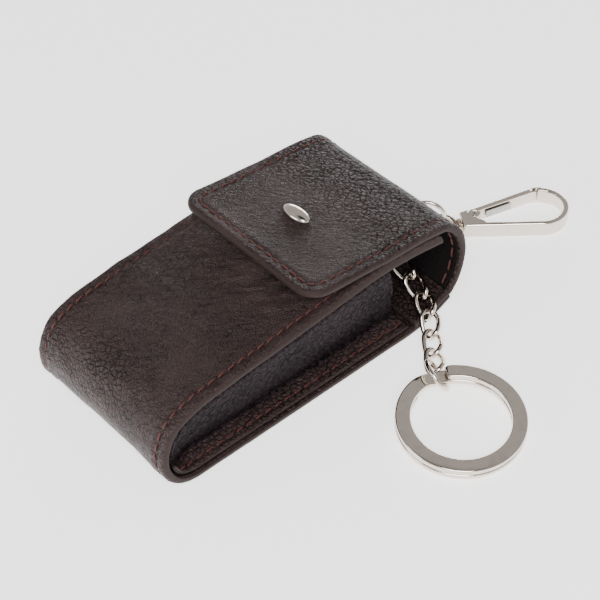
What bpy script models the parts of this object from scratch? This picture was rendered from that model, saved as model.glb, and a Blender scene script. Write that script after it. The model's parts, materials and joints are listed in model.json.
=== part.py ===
"""Leather keychain: a small snap pouch on a chain, with a snap hook and a split ring.

Metres, +Z up. The origin is on the flat underside of the back panel, +Y runs from the toe
towards the hook and +X towards the split ring.
"""
import math

import bmesh
import bpy
from mathutils import Matrix, Vector

# Pouch body
POUCH_LENGTH = 0.0982
POUCH_WIDTH = 0.050
BODY_HEIGHT = 0.0298
TOE_PLACE_SHARE = -0.458
WRAP_LEATHER = 0.0013
STRIP_LEATHER = 0.0012
WRAP_LINING = 0.0008
STRIP_LINING = 0.0007
GUSSET_LEATHER = 0.0009
SEAT_GAP = 0.0003
EDGE_ROUNDING = 0.0003

# Outer face of the wrapped strip: shares of the length from the toe, and of the height
BACK_RISE_SHARES = ((0.950, 0.141), (0.871, 0.034), (0.784, 0.0))
TOE_AND_FRONT_SHARES = (
    (0.102, 0.0), (0.035, 0.081), (0.002, 0.275), (0.004, 0.503), (0.041, 0.711), (0.101, 0.805),
    (0.214, 0.862), (0.397, 0.913), (0.580, 0.970), (0.703, 1.0), (0.825, 0.977), (0.913, 0.936),
)
LINING_STOP_SHARE = 0.815
FOOT_START_SHARE = 0.820

# Outer face of the spine, bottom to top, and of the flap, tip to crease
SPINE_SHARES = (
    (0.944, 0.188), (0.9690, 0.268), (0.9868, 0.379), (0.9970, 0.503),
    (1.0, 0.611), (0.9949, 0.738), (0.9817, 0.852),
)
CREASE_SHARES = (0.9613, 0.946)
FLAP_PLACE_SHARES = (0.4684, 0.4990, 0.5499, 0.6008, 0.6619, 0.7230, 0.8554, 0.8921, 0.9328)
FLAP_LIFT_SHARES = (1.51, 1.32, 1.0, 0.72, 0.42, 0.17, 0.26, 0.26, 0.10)
FLAP_CORNER_RADIUS = 0.006
FLAP_CORNER_BITE = 0.00005
FOLD_GAP = 0.0003

# Gussets: places across the width are measured in from the pouch's side
GUSSET_TAB_INSET = 0.007
GUSSET_CORNER_INSET = 0.0012
GUSSET_CREASE_INSET = 0.0072
GUSSET_TOE_CREASE_INSET = 0.0024
GUSSET_FLANGE_INSET = 0.0006
GUSSET_BEND_RADIUS = 0.0010
GUSSET_BULGE = 0.0009
GUSSET_FRONT_MOUTH_SHARE = 0.737
GUSSET_BACK_MOUTH_SHARE = 0.804
GUSSET_TOE_REACH_SHARE = 0.80

# Magnetic snap
SNAP_PLACE_SHARE = 0.5499
SOCKET_RADIUS = 0.0045
SOCKET_HEIGHT = 0.0013
SOCKET_WALL = 0.0005
SOCKET_FLOOR = 0.0003
MAGNET_BORE_RADIUS = 0.0022
STUD_RADIUS = 0.0040
STUD_PLATE = 0.0004
STUD_NUB_RADIUS = 0.0013
SNAP_TILT_ROOM = 0.00115
SHANK_RADIUS = 0.0010
SHANK_CLEARANCE = 0.0003
WASHER_RADIUS = 0.0040
WASHER_THICKNESS = 0.0003
POCKET_SHARE = 0.5

# Oval ornament on the flap
ORNAMENT_LENGTH = 0.009
ORNAMENT_WIDTH = 0.0045
ORNAMENT_HEIGHT = 0.0013
ORNAMENT_SIDE_PLACE = -0.0015
ORNAMENT_PLACE_SHARE = 0.6568
ORNAMENT_PIN_RADIUS = 0.0005
ORNAMENT_PIN_SPACING = 0.0044

# Eyelet in the spine
EYELET_BORE_RADIUS = 0.0036
EYELET_WALL = 0.0004
EYELET_FLANGE_RADIUS = 0.0053
EYELET_FLANGE = 0.0003
EYELET_HEIGHT_SHARE = 0.42

# Curb chain: the links are numbered from the hook's end
LINK_LENGTH = 0.0090
LINK_WIDTH = 0.0055
LINK_WIRE = 0.0013
LINK_PLAY = 0.0005
LINK_TWIST_DEG = 90.0
LINK_ARC_POINTS = 7
EYELET_LINK_HEADING_DEG = -66.0
EYELET_LINK_RISE_DEG = 19.0
EYELET_LINK_ROLL_DEG = -40.0
EYELET_LINK_PROUD = -0.0005
INNER_HEADINGS_DEG = (-46.0, -19.0, 3.0, -10.0, -26.0, -37.0, -40.0, -40.0)
INNER_HEIGHT_SHARES = (1.09, 0.91, 0.62, 0.37, 0.25, 0.08, 0.0, 0.0)
INNER_ROLL_STEP_DEG = -6.0
OUTER_HEADINGS_DEG = (108.8, 117.9)
OUTER_HEIGHT_SHARE = 0.5
OUTER_ROLL_STEP_DEG = -6.0

# Jump rings
JUMP_RING_DIAMETER = 0.0095
JUMP_RING_WIRE = 0.00125
END_JOINT_HEIGHT = 0.0034
END_RING_HEADING_DEG = -37.5
END_RING_RISE_DEG = 18.5
END_RING_LEAN_DEG = 35.2
HOOK_RING_DIAMETER = 0.0109
HOOK_RING_FACING_DEG = 39.9
HOOK_RING_SLOPE_DEG = 8.7
HOOK_RING_NEAR_DEG = 170.7
HOOK_RING_FAR_DEG = -41.3

# Split ring
SPLIT_RING_DIAMETER = 0.032
SPLIT_BAND_WIDTH = 0.00375
SPLIT_COIL_THICKNESS = 0.0015
SPLIT_COIL_GAP = 0.0003
SPLIT_EDGE_ROUNDING = 0.0003
SPLIT_RING_HEADING_DEG = -20.6
SPLIT_RING_HANG = 0.0009
SPLIT_JOG_DEG = 174.0
SPLIT_JOG_SPAN_DEG = 34.0
SPLIT_END_GAP_DEG = 3.0
SPLIT_STEPS_PER_TURN = 48

# Snap hook: U runs along the hook from its base, V across it towards the gate
HOOK_HEADING_DEG = 61.5
HOOK_LENGTH = 0.02965
HOOK_END_RADIUS = 0.00765
HOOK_BASE_HALF_WIDTH = 0.0029
HOOK_BASE_START = -0.0004
HOOK_BASE_END = 0.0058
HOOK_BAND = 0.0015
HOOK_HEIGHT = 0.0046
HOOK_EDGE_ROUNDING = 0.0003
NOSE_LIP_END_DEG = 92.0
NOSE_STEP_DEG = 79.0
LAP_GAP = 0.0003
GATE_HEIGHT = 0.0040
GATE_PIVOT_PLACE = 0.0038
GATE_EAR_RADIUS = 0.0017
GATE_EAR_THICKNESS = 0.0010
GATE_OPENING_DEG = 26.0
PIN_RADIUS = 0.0006
PIN_CLEARANCE = 0.0002
SPRING_THICKNESS = 0.0003
SPRING_HEIGHT = 0.0022
SPRING_LENGTH = 0.0075
SWIVEL_SHANK_RADIUS = 0.0006
SWIVEL_CLEARANCE = 0.0002
SWIVEL_WALL = 0.0012
SWIVEL_HEAD_RADIUS = 0.00105
SWIVEL_HEAD_LENGTH = 0.0006
SWIVEL_COLLAR_RADIUS = 0.0022
SWIVEL_COLLAR_LENGTH = 0.0008
SWIVEL_EYE_DIAMETER = 0.009
SWIVEL_EYE_WIRE = 0.0017
SWIVEL_EYE_HOLD = 0.0029
SWIVEL_EYE_ROLL_DEG = 21.7

# Fineness of curves and merging
CURVE_STEPS = 4
ORNAMENT_STEPS = 6
GUSSET_WALL_STEPS = 6
GUSSET_FLAT_STEPS = 9
GUSSET_TOE_STEPS = 7
ROUND_SEGMENTS = 24
ARC_STEP_DEG = 10.0
WELD_DISTANCE = 0.000002
CUT_OVERRUN = 0.002

# Sizes worked out from the ones above
HALF_WIDTH = POUCH_WIDTH / 2
TOE_PLACE = TOE_PLACE_SHARE * POUCH_LENGTH
WRAP_DEPTH = WRAP_LEATHER + SEAT_GAP + WRAP_LINING
STRIP_DEPTH = STRIP_LEATHER + SEAT_GAP + STRIP_LINING
GUSSET_DEPTH = WRAP_DEPTH + SEAT_GAP + GUSSET_LEATHER / 2
SNAP_STACK = SEAT_GAP + SOCKET_HEIGHT + SNAP_TILT_ROOM + STUD_PLATE + SEAT_GAP
LINK_PITCH = LINK_LENGTH - 2 * LINK_WIRE - LINK_PLAY
JUMP_RING_RADIUS = (JUMP_RING_DIAMETER - JUMP_RING_WIRE) / 2
HOOK_RING_RADIUS = (HOOK_RING_DIAMETER - JUMP_RING_WIRE) / 2
RING_JOINT_OFFSET = (LINK_WIRE + LINK_PLAY) / 2
UP = Vector((0, 0, 1))
ACROSS = Vector((1, 0, 0))

GRAIN_LEATHER = ((0.040, 0.026, 0.022), 0.50, 0.0)
WALL_LEATHER = ((0.045, 0.030, 0.030), 0.55, 0.0)
LINING_LEATHER = ((0.030, 0.024, 0.022), 0.70, 0.0)
POLISHED_NICKEL = ((0.72, 0.70, 0.67), 0.14, 1.0)
SPRING_STEEL = ((0.45, 0.44, 0.42), 0.30, 1.0)
MAGNET_PLATE = ((0.55, 0.54, 0.52), 0.28, 1.0)


# Scene, materials and parenting

def clear_scene():
    for item in list(bpy.data.objects):
        bpy.data.objects.remove(item, do_unlink=True)


def new_collection(name):
    collection = bpy.data.collections.new(name)
    bpy.context.scene.collection.children.link(collection)
    return collection


def paint(item, finish):
    colour, roughness, metallic = finish
    material = bpy.data.materials.new(item.name + "_finish")
    material.use_nodes = True
    shader = material.node_tree.nodes["Principled BSDF"]
    shader.inputs["Base Color"].default_value = (*colour, 1.0)
    shader.inputs["Roughness"].default_value = roughness
    shader.inputs["Metallic"].default_value = metallic
    item.data.materials.clear()
    item.data.materials.append(material)


def pivot(name, place, axis, parent=None):
    """An empty on a joint's axis, with its local Z along the axis."""
    empty = bpy.data.objects.new("pivot_" + name, None)
    empty.empty_display_size = SOCKET_RADIUS
    PARTS.objects.link(empty)
    turn = axis.normalized().to_track_quat("Z", "Y").to_matrix().to_4x4()
    attach(empty, parent)
    empty.matrix_world = Matrix.Translation(place) @ turn
    bpy.context.view_layer.update()
    return empty


def attach(item, parent):
    if parent is not None:
        item.parent = parent
        item.matrix_parent_inverse = parent.matrix_world.inverted()


def finish_piece(item, finish, parent=None):
    paint(item, finish)
    attach(item, parent)
    return item


# Plane geometry

def smooth_path(points, start_direction=None, end_direction=None, steps=CURVE_STEPS):
    """A smooth curve through the points, with the directions of its ends where they are given."""
    points = [Vector(point) for point in points]
    spans = [(after - before).length for before, after in zip(points, points[1:])]
    slopes = [(after - before) / span for before, after, span in zip(points, points[1:], spans)]
    tangents = [slopes[0]]
    for index in range(1, len(slopes)):
        before, after = spans[index - 1], spans[index]
        tangents.append((slopes[index - 1] * after + slopes[index] * before) / (before + after))
    tangents.append(slopes[-1])
    if start_direction is not None:
        tangents[0] = Vector(start_direction).normalized()
    if end_direction is not None:
        tangents[-1] = Vector(end_direction).normalized()
    path = [points[0]]
    for index, span in enumerate(spans):
        for step in range(1, steps + 1):
            t = step / steps
            rise = t * t * (3 - 2 * t)
            path.append(
                points[index] * (1 - rise) + points[index + 1] * rise
                + tangents[index] * (span * t * (1 - t) * (1 - t))
                - tangents[index + 1] * (span * t * t * (1 - t))
            )
    return path


def path_directions(path):
    last = len(path) - 1
    return [
        (path[min(index + 1, last)] - path[max(index - 1, 0)]).normalized()
        for index in range(len(path))
    ]


def offset_path(path, depth):
    """The path moved to its right-hand side by the depth, without the points that would run back."""
    moved = []
    for point, direction in zip(path, path_directions(path)):
        place = point + Vector((direction.y, -direction.x)) * depth
        if not moved or (place - moved[-1]).dot(direction) > WELD_DISTANCE:
            moved.append(place)
    return moved


def path_lengths(path):
    lengths = [0.0]
    for before, after in zip(path, path[1:]):
        lengths.append(lengths[-1] + (after - before).length)
    return lengths


def point_at(path, distance):
    lengths = path_lengths(path)
    for index in range(len(path) - 1):
        if lengths[index + 1] >= distance:
            share = (distance - lengths[index]) / (lengths[index + 1] - lengths[index])
            return path[index].lerp(path[index + 1], max(share, 0.0))
    return path[-1].copy()


def distance_where(path, coordinate, value):
    """How far along the path its first point with this coordinate lies."""
    lengths = path_lengths(path)
    for index in range(len(path) - 1):
        before, after = path[index][coordinate], path[index + 1][coordinate]
        if min(before, after) <= value <= max(before, after) and before != after:
            share = (value - before) / (after - before)
            return lengths[index] + share * (lengths[index + 1] - lengths[index])
    return lengths[-1]


def cut_path(path, start, end):
    """The stretch of the path between two distances along it."""
    lengths = path_lengths(path)
    inside = [
        point for point, length in zip(path, lengths)
        if start + WELD_DISTANCE < length < end - WELD_DISTANCE
    ]
    return [point_at(path, start)] + inside + [point_at(path, end)]


def arc(centre, radius, start_deg, end_deg):
    count = max(2, math.ceil(abs(end_deg - start_deg) / ARC_STEP_DEG))
    angles = [math.radians(start_deg + (end_deg - start_deg) * i / count) for i in range(count + 1)]
    return [Vector((centre[0] + radius * math.cos(a), centre[1] + radius * math.sin(a))) for a in angles]


# Solids

def solid_from_curve(name, curve, matrix, collection):
    """A filled curve made into a welded mesh object."""
    drawn = bpy.data.objects.new(name + "_curve", curve)
    bpy.context.scene.collection.objects.link(drawn)
    drawn.matrix_world = matrix
    bpy.context.view_layer.update()
    evaluated = drawn.evaluated_get(bpy.context.evaluated_depsgraph_get())
    mesh = bpy.data.meshes.new_from_object(evaluated)
    mesh.transform(drawn.matrix_world)
    bpy.data.objects.remove(drawn, do_unlink=True)
    shape = bmesh.new()
    shape.from_mesh(mesh)
    bmesh.ops.remove_doubles(shape, verts=shape.verts, dist=WELD_DISTANCE)
    bmesh.ops.recalc_face_normals(shape, faces=shape.faces)
    shape.to_mesh(mesh)
    shape.free()
    item = bpy.data.objects.new(name, mesh)
    collection.objects.link(item)
    return item


def prism(name, outline, thickness, matrix, collection=None):
    """A flat outline given an even thickness, half of it to each side of its plane."""
    curve = bpy.data.curves.new(name, "CURVE")
    curve.dimensions = "2D"
    curve.fill_mode = "BOTH"
    curve.extrude = thickness / 2
    spline = curve.splines.new("POLY")
    spline.points.add(len(outline) - 1)
    for point, place in zip(spline.points, outline):
        point.co = (place[0], place[1], 0, 1)
    spline.use_cyclic_u = True
    return solid_from_curve(name, curve, matrix, collection or PARTS)


def ribbon(name, path, near_depth, far_depth, rounded=True):
    """A sheet that follows a side-view path across the pouch's width."""
    side_view = Matrix(((0, 0, 1, 0), (1, 0, 0, 0), (0, 1, 0, 0), (0, 0, 0, 1)))
    outline = offset_path(path, near_depth) + offset_path(path, far_depth)[::-1]
    item = prism(name, outline, POUCH_WIDTH, side_view)
    if rounded:
        round_edges(item, EDGE_ROUNDING)
    return item


def round_edges(item, width, limit_deg=40.0):
    rounding = item.modifiers.new("edges", "BEVEL")
    rounding.width = width
    rounding.segments = 2
    rounding.limit_method = "ANGLE"
    rounding.angle_limit = math.radians(limit_deg)


def cylinder(name, radius, start, end, matrix, collection=None, segments=ROUND_SEGMENTS):
    """A round bar between two places on the matrix's Z axis."""
    shape = bmesh.new()
    bmesh.ops.create_cone(
        shape, cap_ends=True, segments=segments, radius1=radius, radius2=radius, depth=end - start,
        matrix=matrix @ Matrix.Translation((0, 0, (start + end) / 2)),
    )
    return object_from(shape, name, collection)


def object_from(shape, name, collection=None):
    mesh = bpy.data.meshes.new(name)
    shape.to_mesh(mesh)
    shape.free()
    item = bpy.data.objects.new(name, mesh)
    (collection or PARTS).objects.link(item)
    return item


def turned(name, profile, matrix, closed=True, collection=None):
    """A profile of radius and height turned about the matrix's Z axis."""
    shape = bmesh.new()
    corners = [shape.verts.new((radius, 0, height)) for radius, height in profile]
    for before, after in zip(corners, corners[1:]):
        shape.edges.new((before, after))
    if closed:
        shape.edges.new((corners[-1], corners[0]))
    item = object_from(shape, name, collection)
    turning = item.modifiers.new("turn", "SCREW")
    turning.steps = ROUND_SEGMENTS
    turning.render_steps = ROUND_SEGMENTS
    turning.use_merge_vertices = True
    turning.merge_threshold = WELD_DISTANCE
    item.matrix_world = matrix
    return item


def join_or_cut(item, tool, operation):
    """The exact solver loses some faces of a body with rounded edges, so those take the other one."""
    change = item.modifiers.new(tool.name, "BOOLEAN")
    change.operation = operation
    change.object = tool
    change.solver = "MANIFOLD" if "edges" in item.modifiers else "EXACT"
    tool.hide_render = True
    tool.display_type = "WIRE"


def drill(item, name, radius, start, end, matrix):
    tool = cylinder(item.name + "_" + name, radius, start, end, matrix, CUTTERS)
    join_or_cut(item, tool, "DIFFERENCE")


def wire(name, points, thickness, closed):
    curve = bpy.data.curves.new(name, "CURVE")
    curve.dimensions = "3D"
    curve.bevel_depth = thickness / 2
    curve.bevel_resolution = 2
    curve.use_fill_caps = True
    spline = curve.splines.new("POLY")
    spline.points.add(len(points) - 1)
    for point, place in zip(spline.points, points):
        point.co = (*place, 1)
    spline.use_cyclic_u = closed
    item = bpy.data.objects.new(name, curve)
    PARTS.objects.link(item)
    return item


def heading(heading_deg, rise_deg=0.0):
    turn, rise = math.radians(heading_deg), math.radians(rise_deg)
    return Vector((math.cos(turn) * math.cos(rise), math.sin(turn) * math.cos(rise), math.sin(rise)))


# Side views of the leather

def wrap_place(shares):
    return Vector((TOE_PLACE + shares[0] * POUCH_LENGTH, shares[1] * BODY_HEIGHT))


def wrap_path():
    """Outer face of the wrapped strip, from the back panel's mouth round the toe to the front's mouth."""
    back = smooth_path([wrap_place(s) for s in BACK_RISE_SHARES], end_direction=(-1, 0))
    front = smooth_path([wrap_place(s) for s in TOE_AND_FRONT_SHARES], start_direction=(-1, 0))
    return back + front


def front_path():
    path = wrap_path()
    return path[path.index(min(path, key=lambda point: point.x)):]


def front_height(place):
    path = front_path()
    return point_at(path, distance_where(path, 0, place)).y


def flap_points():
    points = []
    for place_share, lift_share in zip(FLAP_PLACE_SHARES, FLAP_LIFT_SHARES):
        place = TOE_PLACE + place_share * POUCH_LENGTH
        points.append(Vector((place, front_height(place) + STRIP_DEPTH + lift_share * SNAP_STACK)))
    return points


def strip_path():
    """Outer face of the sewn strip, from the flap's tip over the spine to the end of its foot."""
    wrap = wrap_path()
    foot_line = offset_path(wrap, WRAP_LEATHER + SEAT_GAP)
    foot_end = distance_where(foot_line, 0, TOE_PLACE + FOOT_START_SHARE * POUCH_LENGTH)
    foot = cut_path(foot_line, 0, foot_end)[1:]
    shaped = flap_points() + [wrap_place(CREASE_SHARES)]
    shaped += [wrap_place(s) for s in reversed(SPINE_SHARES)]
    return smooth_path(shaped + [foot[0]], end_direction=foot[1] - foot[0]) + foot[1:]


def seat_on(path, place, side=0.0):
    """A matrix on the outer face: Z points out of the leather and X stays across the pouch."""
    distance = distance_where(path, 0, place)
    point = point_at(path, distance)
    ahead = point_at(path, distance + EDGE_ROUNDING)
    along = (ahead - point).normalized()
    y_axis = Vector((0, along.x, along.y))
    z_axis = ACROSS.cross(y_axis)
    matrix = Matrix((ACROSS, y_axis, z_axis)).transposed().to_4x4()
    matrix.translation = Vector((side, point.x, point.y))
    return matrix


# Leather pieces

def make_body():
    path = wrap_path()
    wrap = finish_piece(ribbon("body_wrap", path, 0, WRAP_LEATHER), GRAIN_LEATHER)
    stop = distance_where(path, 0, TOE_PLACE + LINING_STOP_SHARE * POUCH_LENGTH)
    lining_path = cut_path(path, stop, path_lengths(path)[-1])
    lining = ribbon("body_lining", lining_path, WRAP_LEATHER + SEAT_GAP, WRAP_DEPTH, rounded=False)
    finish_piece(lining, LINING_LEATHER)
    return wrap


def crease_distances(path):
    """Where the strip bends: at the flap's crease and at the spine's."""
    flap_crease = distance_where(path, 0, wrap_place(CREASE_SHARES).x)
    spine_foot = wrap_place(SPINE_SHARES[0])
    nearest = min(path, key=lambda point: (point - spine_foot).length)
    spine_crease = path_lengths(path)[path.index(nearest)]
    return flap_crease, spine_crease


def make_strip(spine_pivot, flap_pivot):
    path = strip_path()
    flap_crease, spine_crease = crease_distances(path)
    half_gap = FOLD_GAP / 2
    flap_path = cut_path(path, 0, flap_crease - half_gap)
    spine_path = cut_path(path, flap_crease + half_gap, spine_crease - half_gap)
    foot_path = cut_path(path, spine_crease + half_gap, path_lengths(path)[-1])
    lining_start = STRIP_LEATHER + SEAT_GAP
    finish_piece(ribbon("strap_foot", foot_path, 0, STRIP_LEATHER), GRAIN_LEATHER)
    spine = finish_piece(ribbon("spine_leather", spine_path, 0, STRIP_LEATHER), GRAIN_LEATHER, spine_pivot)
    spine_lining = ribbon("spine_lining", spine_path, lining_start, STRIP_DEPTH, rounded=False)
    finish_piece(spine_lining, LINING_LEATHER, spine_pivot)
    flap = finish_piece(ribbon("flap_leather", flap_path, 0, STRIP_LEATHER), GRAIN_LEATHER, flap_pivot)
    flap_lining = ribbon("flap_lining", flap_path, lining_start, STRIP_DEPTH, rounded=False)
    finish_piece(flap_lining, LINING_LEATHER, flap_pivot)
    for sheet in (flap, flap_lining):
        round_flap_corners(sheet, flap_path[0])
    return flap, flap_lining, spine, spine_lining


def round_flap_corners(sheet, tip):
    """Cuts the two corners of the flap's tip to a radius, seen from above; the cut leaves at 45 degrees."""
    reach = CUT_OVERRUN
    for side in (-1, 1):
        inset = FLAP_CORNER_RADIUS + FLAP_CORNER_BITE
        centre = (side * (HALF_WIDTH - inset), tip.x + inset)
        curve = arc(centre, FLAP_CORNER_RADIUS, 270, 270 + side * 90)
        run_out = reach + FLAP_CORNER_BITE
        outline = curve + [
            Vector((side * (HALF_WIDTH + reach), centre[1] + run_out)),
            Vector((side * (HALF_WIDTH + reach), tip.x - reach)),
            Vector((centre[0] - side * run_out, tip.x - reach)),
        ]
        raised = Matrix.Translation((0, 0, tip.y))
        name = sheet.name + ("_left_corner" if side < 0 else "_right_corner")
        tool = prism(name, outline, BODY_HEIGHT / 2, raised, CUTTERS)
        join_or_cut(sheet, tool, "DIFFERENCE")


def gusset_section(front, back, crease_inset):
    """One section of a side wall: tab under the front panel, slanted wall and flange, on one line."""
    down = (back - front).normalized()
    height = (back - front).length
    bend = GUSSET_BEND_RADIUS
    tab = HALF_WIDTH - GUSSET_TAB_INSET
    corner = HALF_WIDTH - GUSSET_CORNER_INSET
    crease = HALF_WIDTH - crease_inset
    flange = HALF_WIDTH - GUSSET_FLANGE_INSET
    wall_start, wall_end = bend, height - bend
    places = [(tab, 0), ((tab + corner - bend) / 2, 0), (corner - bend, 0)]
    eased = bend * (1 - math.cos(math.radians(45)))
    places.append((corner - eased, eased))
    for step in range(GUSSET_WALL_STEPS + 1):
        share = step / GUSSET_WALL_STEPS
        bulge = GUSSET_BULGE * math.sin(math.pi * share) * (corner - crease) / GUSSET_CREASE_INSET
        across = corner + (crease - corner) * share + bulge
        places.append((across, wall_start + (wall_end - wall_start) * share))
    places.append((crease + eased, height - eased))
    places.append((crease + bend, height))
    places.append(((crease + bend + flange) / 2, height))
    places.append((flange, height))
    return [
        Vector((across, front.x + down.x * drop, front.y + down.y * drop))
        for across, drop in places
    ]


def gusset_stations():
    """Matching places on the front and the back, from the mouth to the toe."""
    path = offset_path(wrap_path(), GUSSET_DEPTH)
    total = path_lengths(path)[-1]
    apex = path_lengths(path)[path.index(min(path, key=lambda point: point.x))]
    toe_start = distance_where(path, 0, wrap_place(TOE_AND_FRONT_SHARES[0]).x)
    back_mouth = distance_where(path, 0, TOE_PLACE + GUSSET_BACK_MOUTH_SHARE * POUCH_LENGTH)
    front = cut_path(path, apex, total)
    front_mouth = apex + distance_where(front, 0, TOE_PLACE + GUSSET_FRONT_MOUTH_SHARE * POUCH_LENGTH)
    front_toe = apex + distance_where(front, 0, wrap_place(TOE_AND_FRONT_SHARES[0]).x)
    stations = []
    for step in range(GUSSET_FLAT_STEPS):
        share = step / GUSSET_FLAT_STEPS
        stations.append((
            point_at(path, front_mouth + (front_toe - front_mouth) * share),
            point_at(path, back_mouth + (toe_start - back_mouth) * share),
            0.0,
        ))
    for step in range(GUSSET_TOE_STEPS + 1):
        share = step / GUSSET_TOE_STEPS
        reach = share * GUSSET_TOE_REACH_SHARE
        stations.append((
            point_at(path, front_toe + (apex - front_toe) * reach),
            point_at(path, toe_start + (apex - toe_start) * reach),
            share,
        ))
    return stations


def make_gusset(name, side):
    shape = bmesh.new()
    rows = []
    for front, back, toe_share in gusset_stations():
        inset = GUSSET_CREASE_INSET + (GUSSET_TOE_CREASE_INSET - GUSSET_CREASE_INSET) * toe_share
        rows.append([shape.verts.new((side * p.x, p.y, p.z)) for p in gusset_section(front, back, inset)])
    for row, following in zip(rows, rows[1:]):
        for index in range(len(row) - 1):
            shape.faces.new((row[index], row[index + 1], following[index + 1], following[index]))
    bmesh.ops.recalc_face_normals(shape, faces=shape.faces)
    item = object_from(shape, name)
    shell = item.modifiers.new("leather", "SOLIDIFY")
    shell.thickness = GUSSET_LEATHER
    shell.offset = 0
    return finish_piece(item, WALL_LEATHER)


# Fittings set in the leather

def washer(name, matrix, depth, hole_radii, finish, parent=None):
    """A flat plate in its pocket on the leather's inner side, with holes for what passes through."""
    top, bottom = -depth - SEAT_GAP, -depth - SEAT_GAP - WASHER_THICKNESS
    item = cylinder(name, WASHER_RADIUS, bottom, top, matrix)
    for index, (side, radius) in enumerate(hole_radii):
        moved = matrix @ Matrix.Translation((side, 0, 0))
        drill(item, "hole_%d" % (index + 1), radius, bottom - CUT_OVERRUN, top + CUT_OVERRUN, moved)
    return finish_piece(item, finish, parent)


def cut_seat(sheet, matrix, leather, holes):
    """A pocket for the washer on the inner side, and the holes that lead out of it."""
    pocket_ceiling = -leather * POCKET_SHARE
    drill(sheet, "pocket", WASHER_RADIUS + SEAT_GAP, -leather - CUT_OVERRUN, pocket_ceiling, matrix)
    for index, (side, radius) in enumerate(holes):
        moved = matrix @ Matrix.Translation((side, 0, 0))
        drill(sheet, "hole_%d" % (index + 1), radius, -leather, CUT_OVERRUN, moved)


def make_snap(wrap, flap, flap_lining, flap_pivot):
    place = TOE_PLACE + SNAP_PLACE_SHARE * POUCH_LENGTH
    hole = SHANK_RADIUS + SHANK_CLEARANCE
    lower = seat_on(front_path(), place)
    pocket = WRAP_LEATHER * POCKET_SHARE
    shank_end = -pocket - SEAT_GAP - WASHER_THICKNESS
    cut_seat(wrap, lower, WRAP_LEATHER, [(0, hole)])
    base, rim = SEAT_GAP, SEAT_GAP + SOCKET_HEIGHT
    socket = turned("snap_socket", [
        (0, base + SOCKET_FLOOR), (SOCKET_RADIUS - SOCKET_WALL, base + SOCKET_FLOOR),
        (SOCKET_RADIUS - SOCKET_WALL, rim), (SOCKET_RADIUS, rim), (SOCKET_RADIUS, base),
        (SHANK_RADIUS, base), (SHANK_RADIUS, shank_end), (0, shank_end),
    ], lower, closed=False)
    finish_piece(socket, POLISHED_NICKEL)
    magnet_rim = SOCKET_RADIUS - SOCKET_WALL - SEAT_GAP
    magnet_base = base + SOCKET_FLOOR + SEAT_GAP
    magnet_top = rim - SOCKET_WALL / 2
    magnet = turned("snap_magnet", [
        (MAGNET_BORE_RADIUS, magnet_top), (magnet_rim, magnet_top),
        (magnet_rim, magnet_base), (MAGNET_BORE_RADIUS, magnet_base),
    ], lower)
    finish_piece(magnet, MAGNET_PLATE)
    washer("snap_socket_washer", lower, pocket, [(0, hole)], SPRING_STEEL)

    upper = seat_on(strip_path(), place)
    pocket = STRIP_LEATHER * POCKET_SHARE
    cut_hidden_seat(flap, upper, STRIP_LEATHER)
    drill(flap_lining, "shank", hole, -STRIP_DEPTH - CUT_OVERRUN, -STRIP_LEATHER, upper)
    plate_top = -STRIP_DEPTH - SEAT_GAP
    plate_bottom = plate_top - STUD_PLATE
    nub_end = plate_bottom - SNAP_TILT_ROOM - SOCKET_HEIGHT / 2
    stud = turned("snap_stud", [
        (0, -pocket - SEAT_GAP), (SHANK_RADIUS, -pocket - SEAT_GAP), (SHANK_RADIUS, plate_top),
        (STUD_RADIUS, plate_top), (STUD_RADIUS, plate_bottom), (STUD_NUB_RADIUS, plate_bottom),
        (STUD_NUB_RADIUS, nub_end), (0, nub_end),
    ], upper, closed=False)
    finish_piece(stud, POLISHED_NICKEL, flap_pivot)
    washer("snap_stud_washer", upper, pocket, [(0, hole)], SPRING_STEEL, flap_pivot)


def cut_hidden_seat(sheet, matrix, leather):
    """A washer's pocket on the inner side that doesn't reach the outer face."""
    drill(sheet, "snap_pocket", WASHER_RADIUS + SEAT_GAP, -leather - CUT_OVERRUN, -leather * POCKET_SHARE, matrix)


def make_ornament(flap, flap_pivot):
    place = TOE_PLACE + ORNAMENT_PLACE_SHARE * POUCH_LENGTH
    matrix = seat_on(strip_path(), place, ORNAMENT_SIDE_PLACE)
    pin_places = (-ORNAMENT_PIN_SPACING / 2, ORNAMENT_PIN_SPACING / 2)
    pocket = STRIP_LEATHER * POCKET_SHARE
    hole = ORNAMENT_PIN_RADIUS + SHANK_CLEARANCE
    half_length = ORNAMENT_LENGTH / 2
    dome = [(0, 0)]
    for step in range(ORNAMENT_STEPS):
        angle = math.radians(90) * step / ORNAMENT_STEPS
        dome.append((half_length * math.cos(angle), ORNAMENT_HEIGHT * math.sin(angle)))
    dome.append((0, ORNAMENT_HEIGHT))
    narrowed = Matrix.Diagonal((1, ORNAMENT_WIDTH / ORNAMENT_LENGTH, 1, 1))
    seated = matrix @ Matrix.Translation((0, 0, SEAT_GAP)) @ narrowed
    ornament = turned("ornament", dome[::-1], seated, closed=False)
    for index, side in enumerate(pin_places):
        moved = matrix @ Matrix.Translation((side, 0, 0))
        start, pin_end = -pocket - SEAT_GAP - WASHER_THICKNESS, SEAT_GAP + ORNAMENT_HEIGHT / 2
        pin = cylinder("ornament_pin_%d" % (index + 1), ORNAMENT_PIN_RADIUS, start, pin_end, moved, CUTTERS)
        join_or_cut(ornament, pin, "UNION")
    finish_piece(ornament, POLISHED_NICKEL, flap_pivot)
    cut_seat(flap, matrix, STRIP_LEATHER, [(side, hole) for side in pin_places])
    washer("ornament_washer", matrix, pocket, [(side, hole) for side in pin_places], SPRING_STEEL, flap_pivot)


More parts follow.
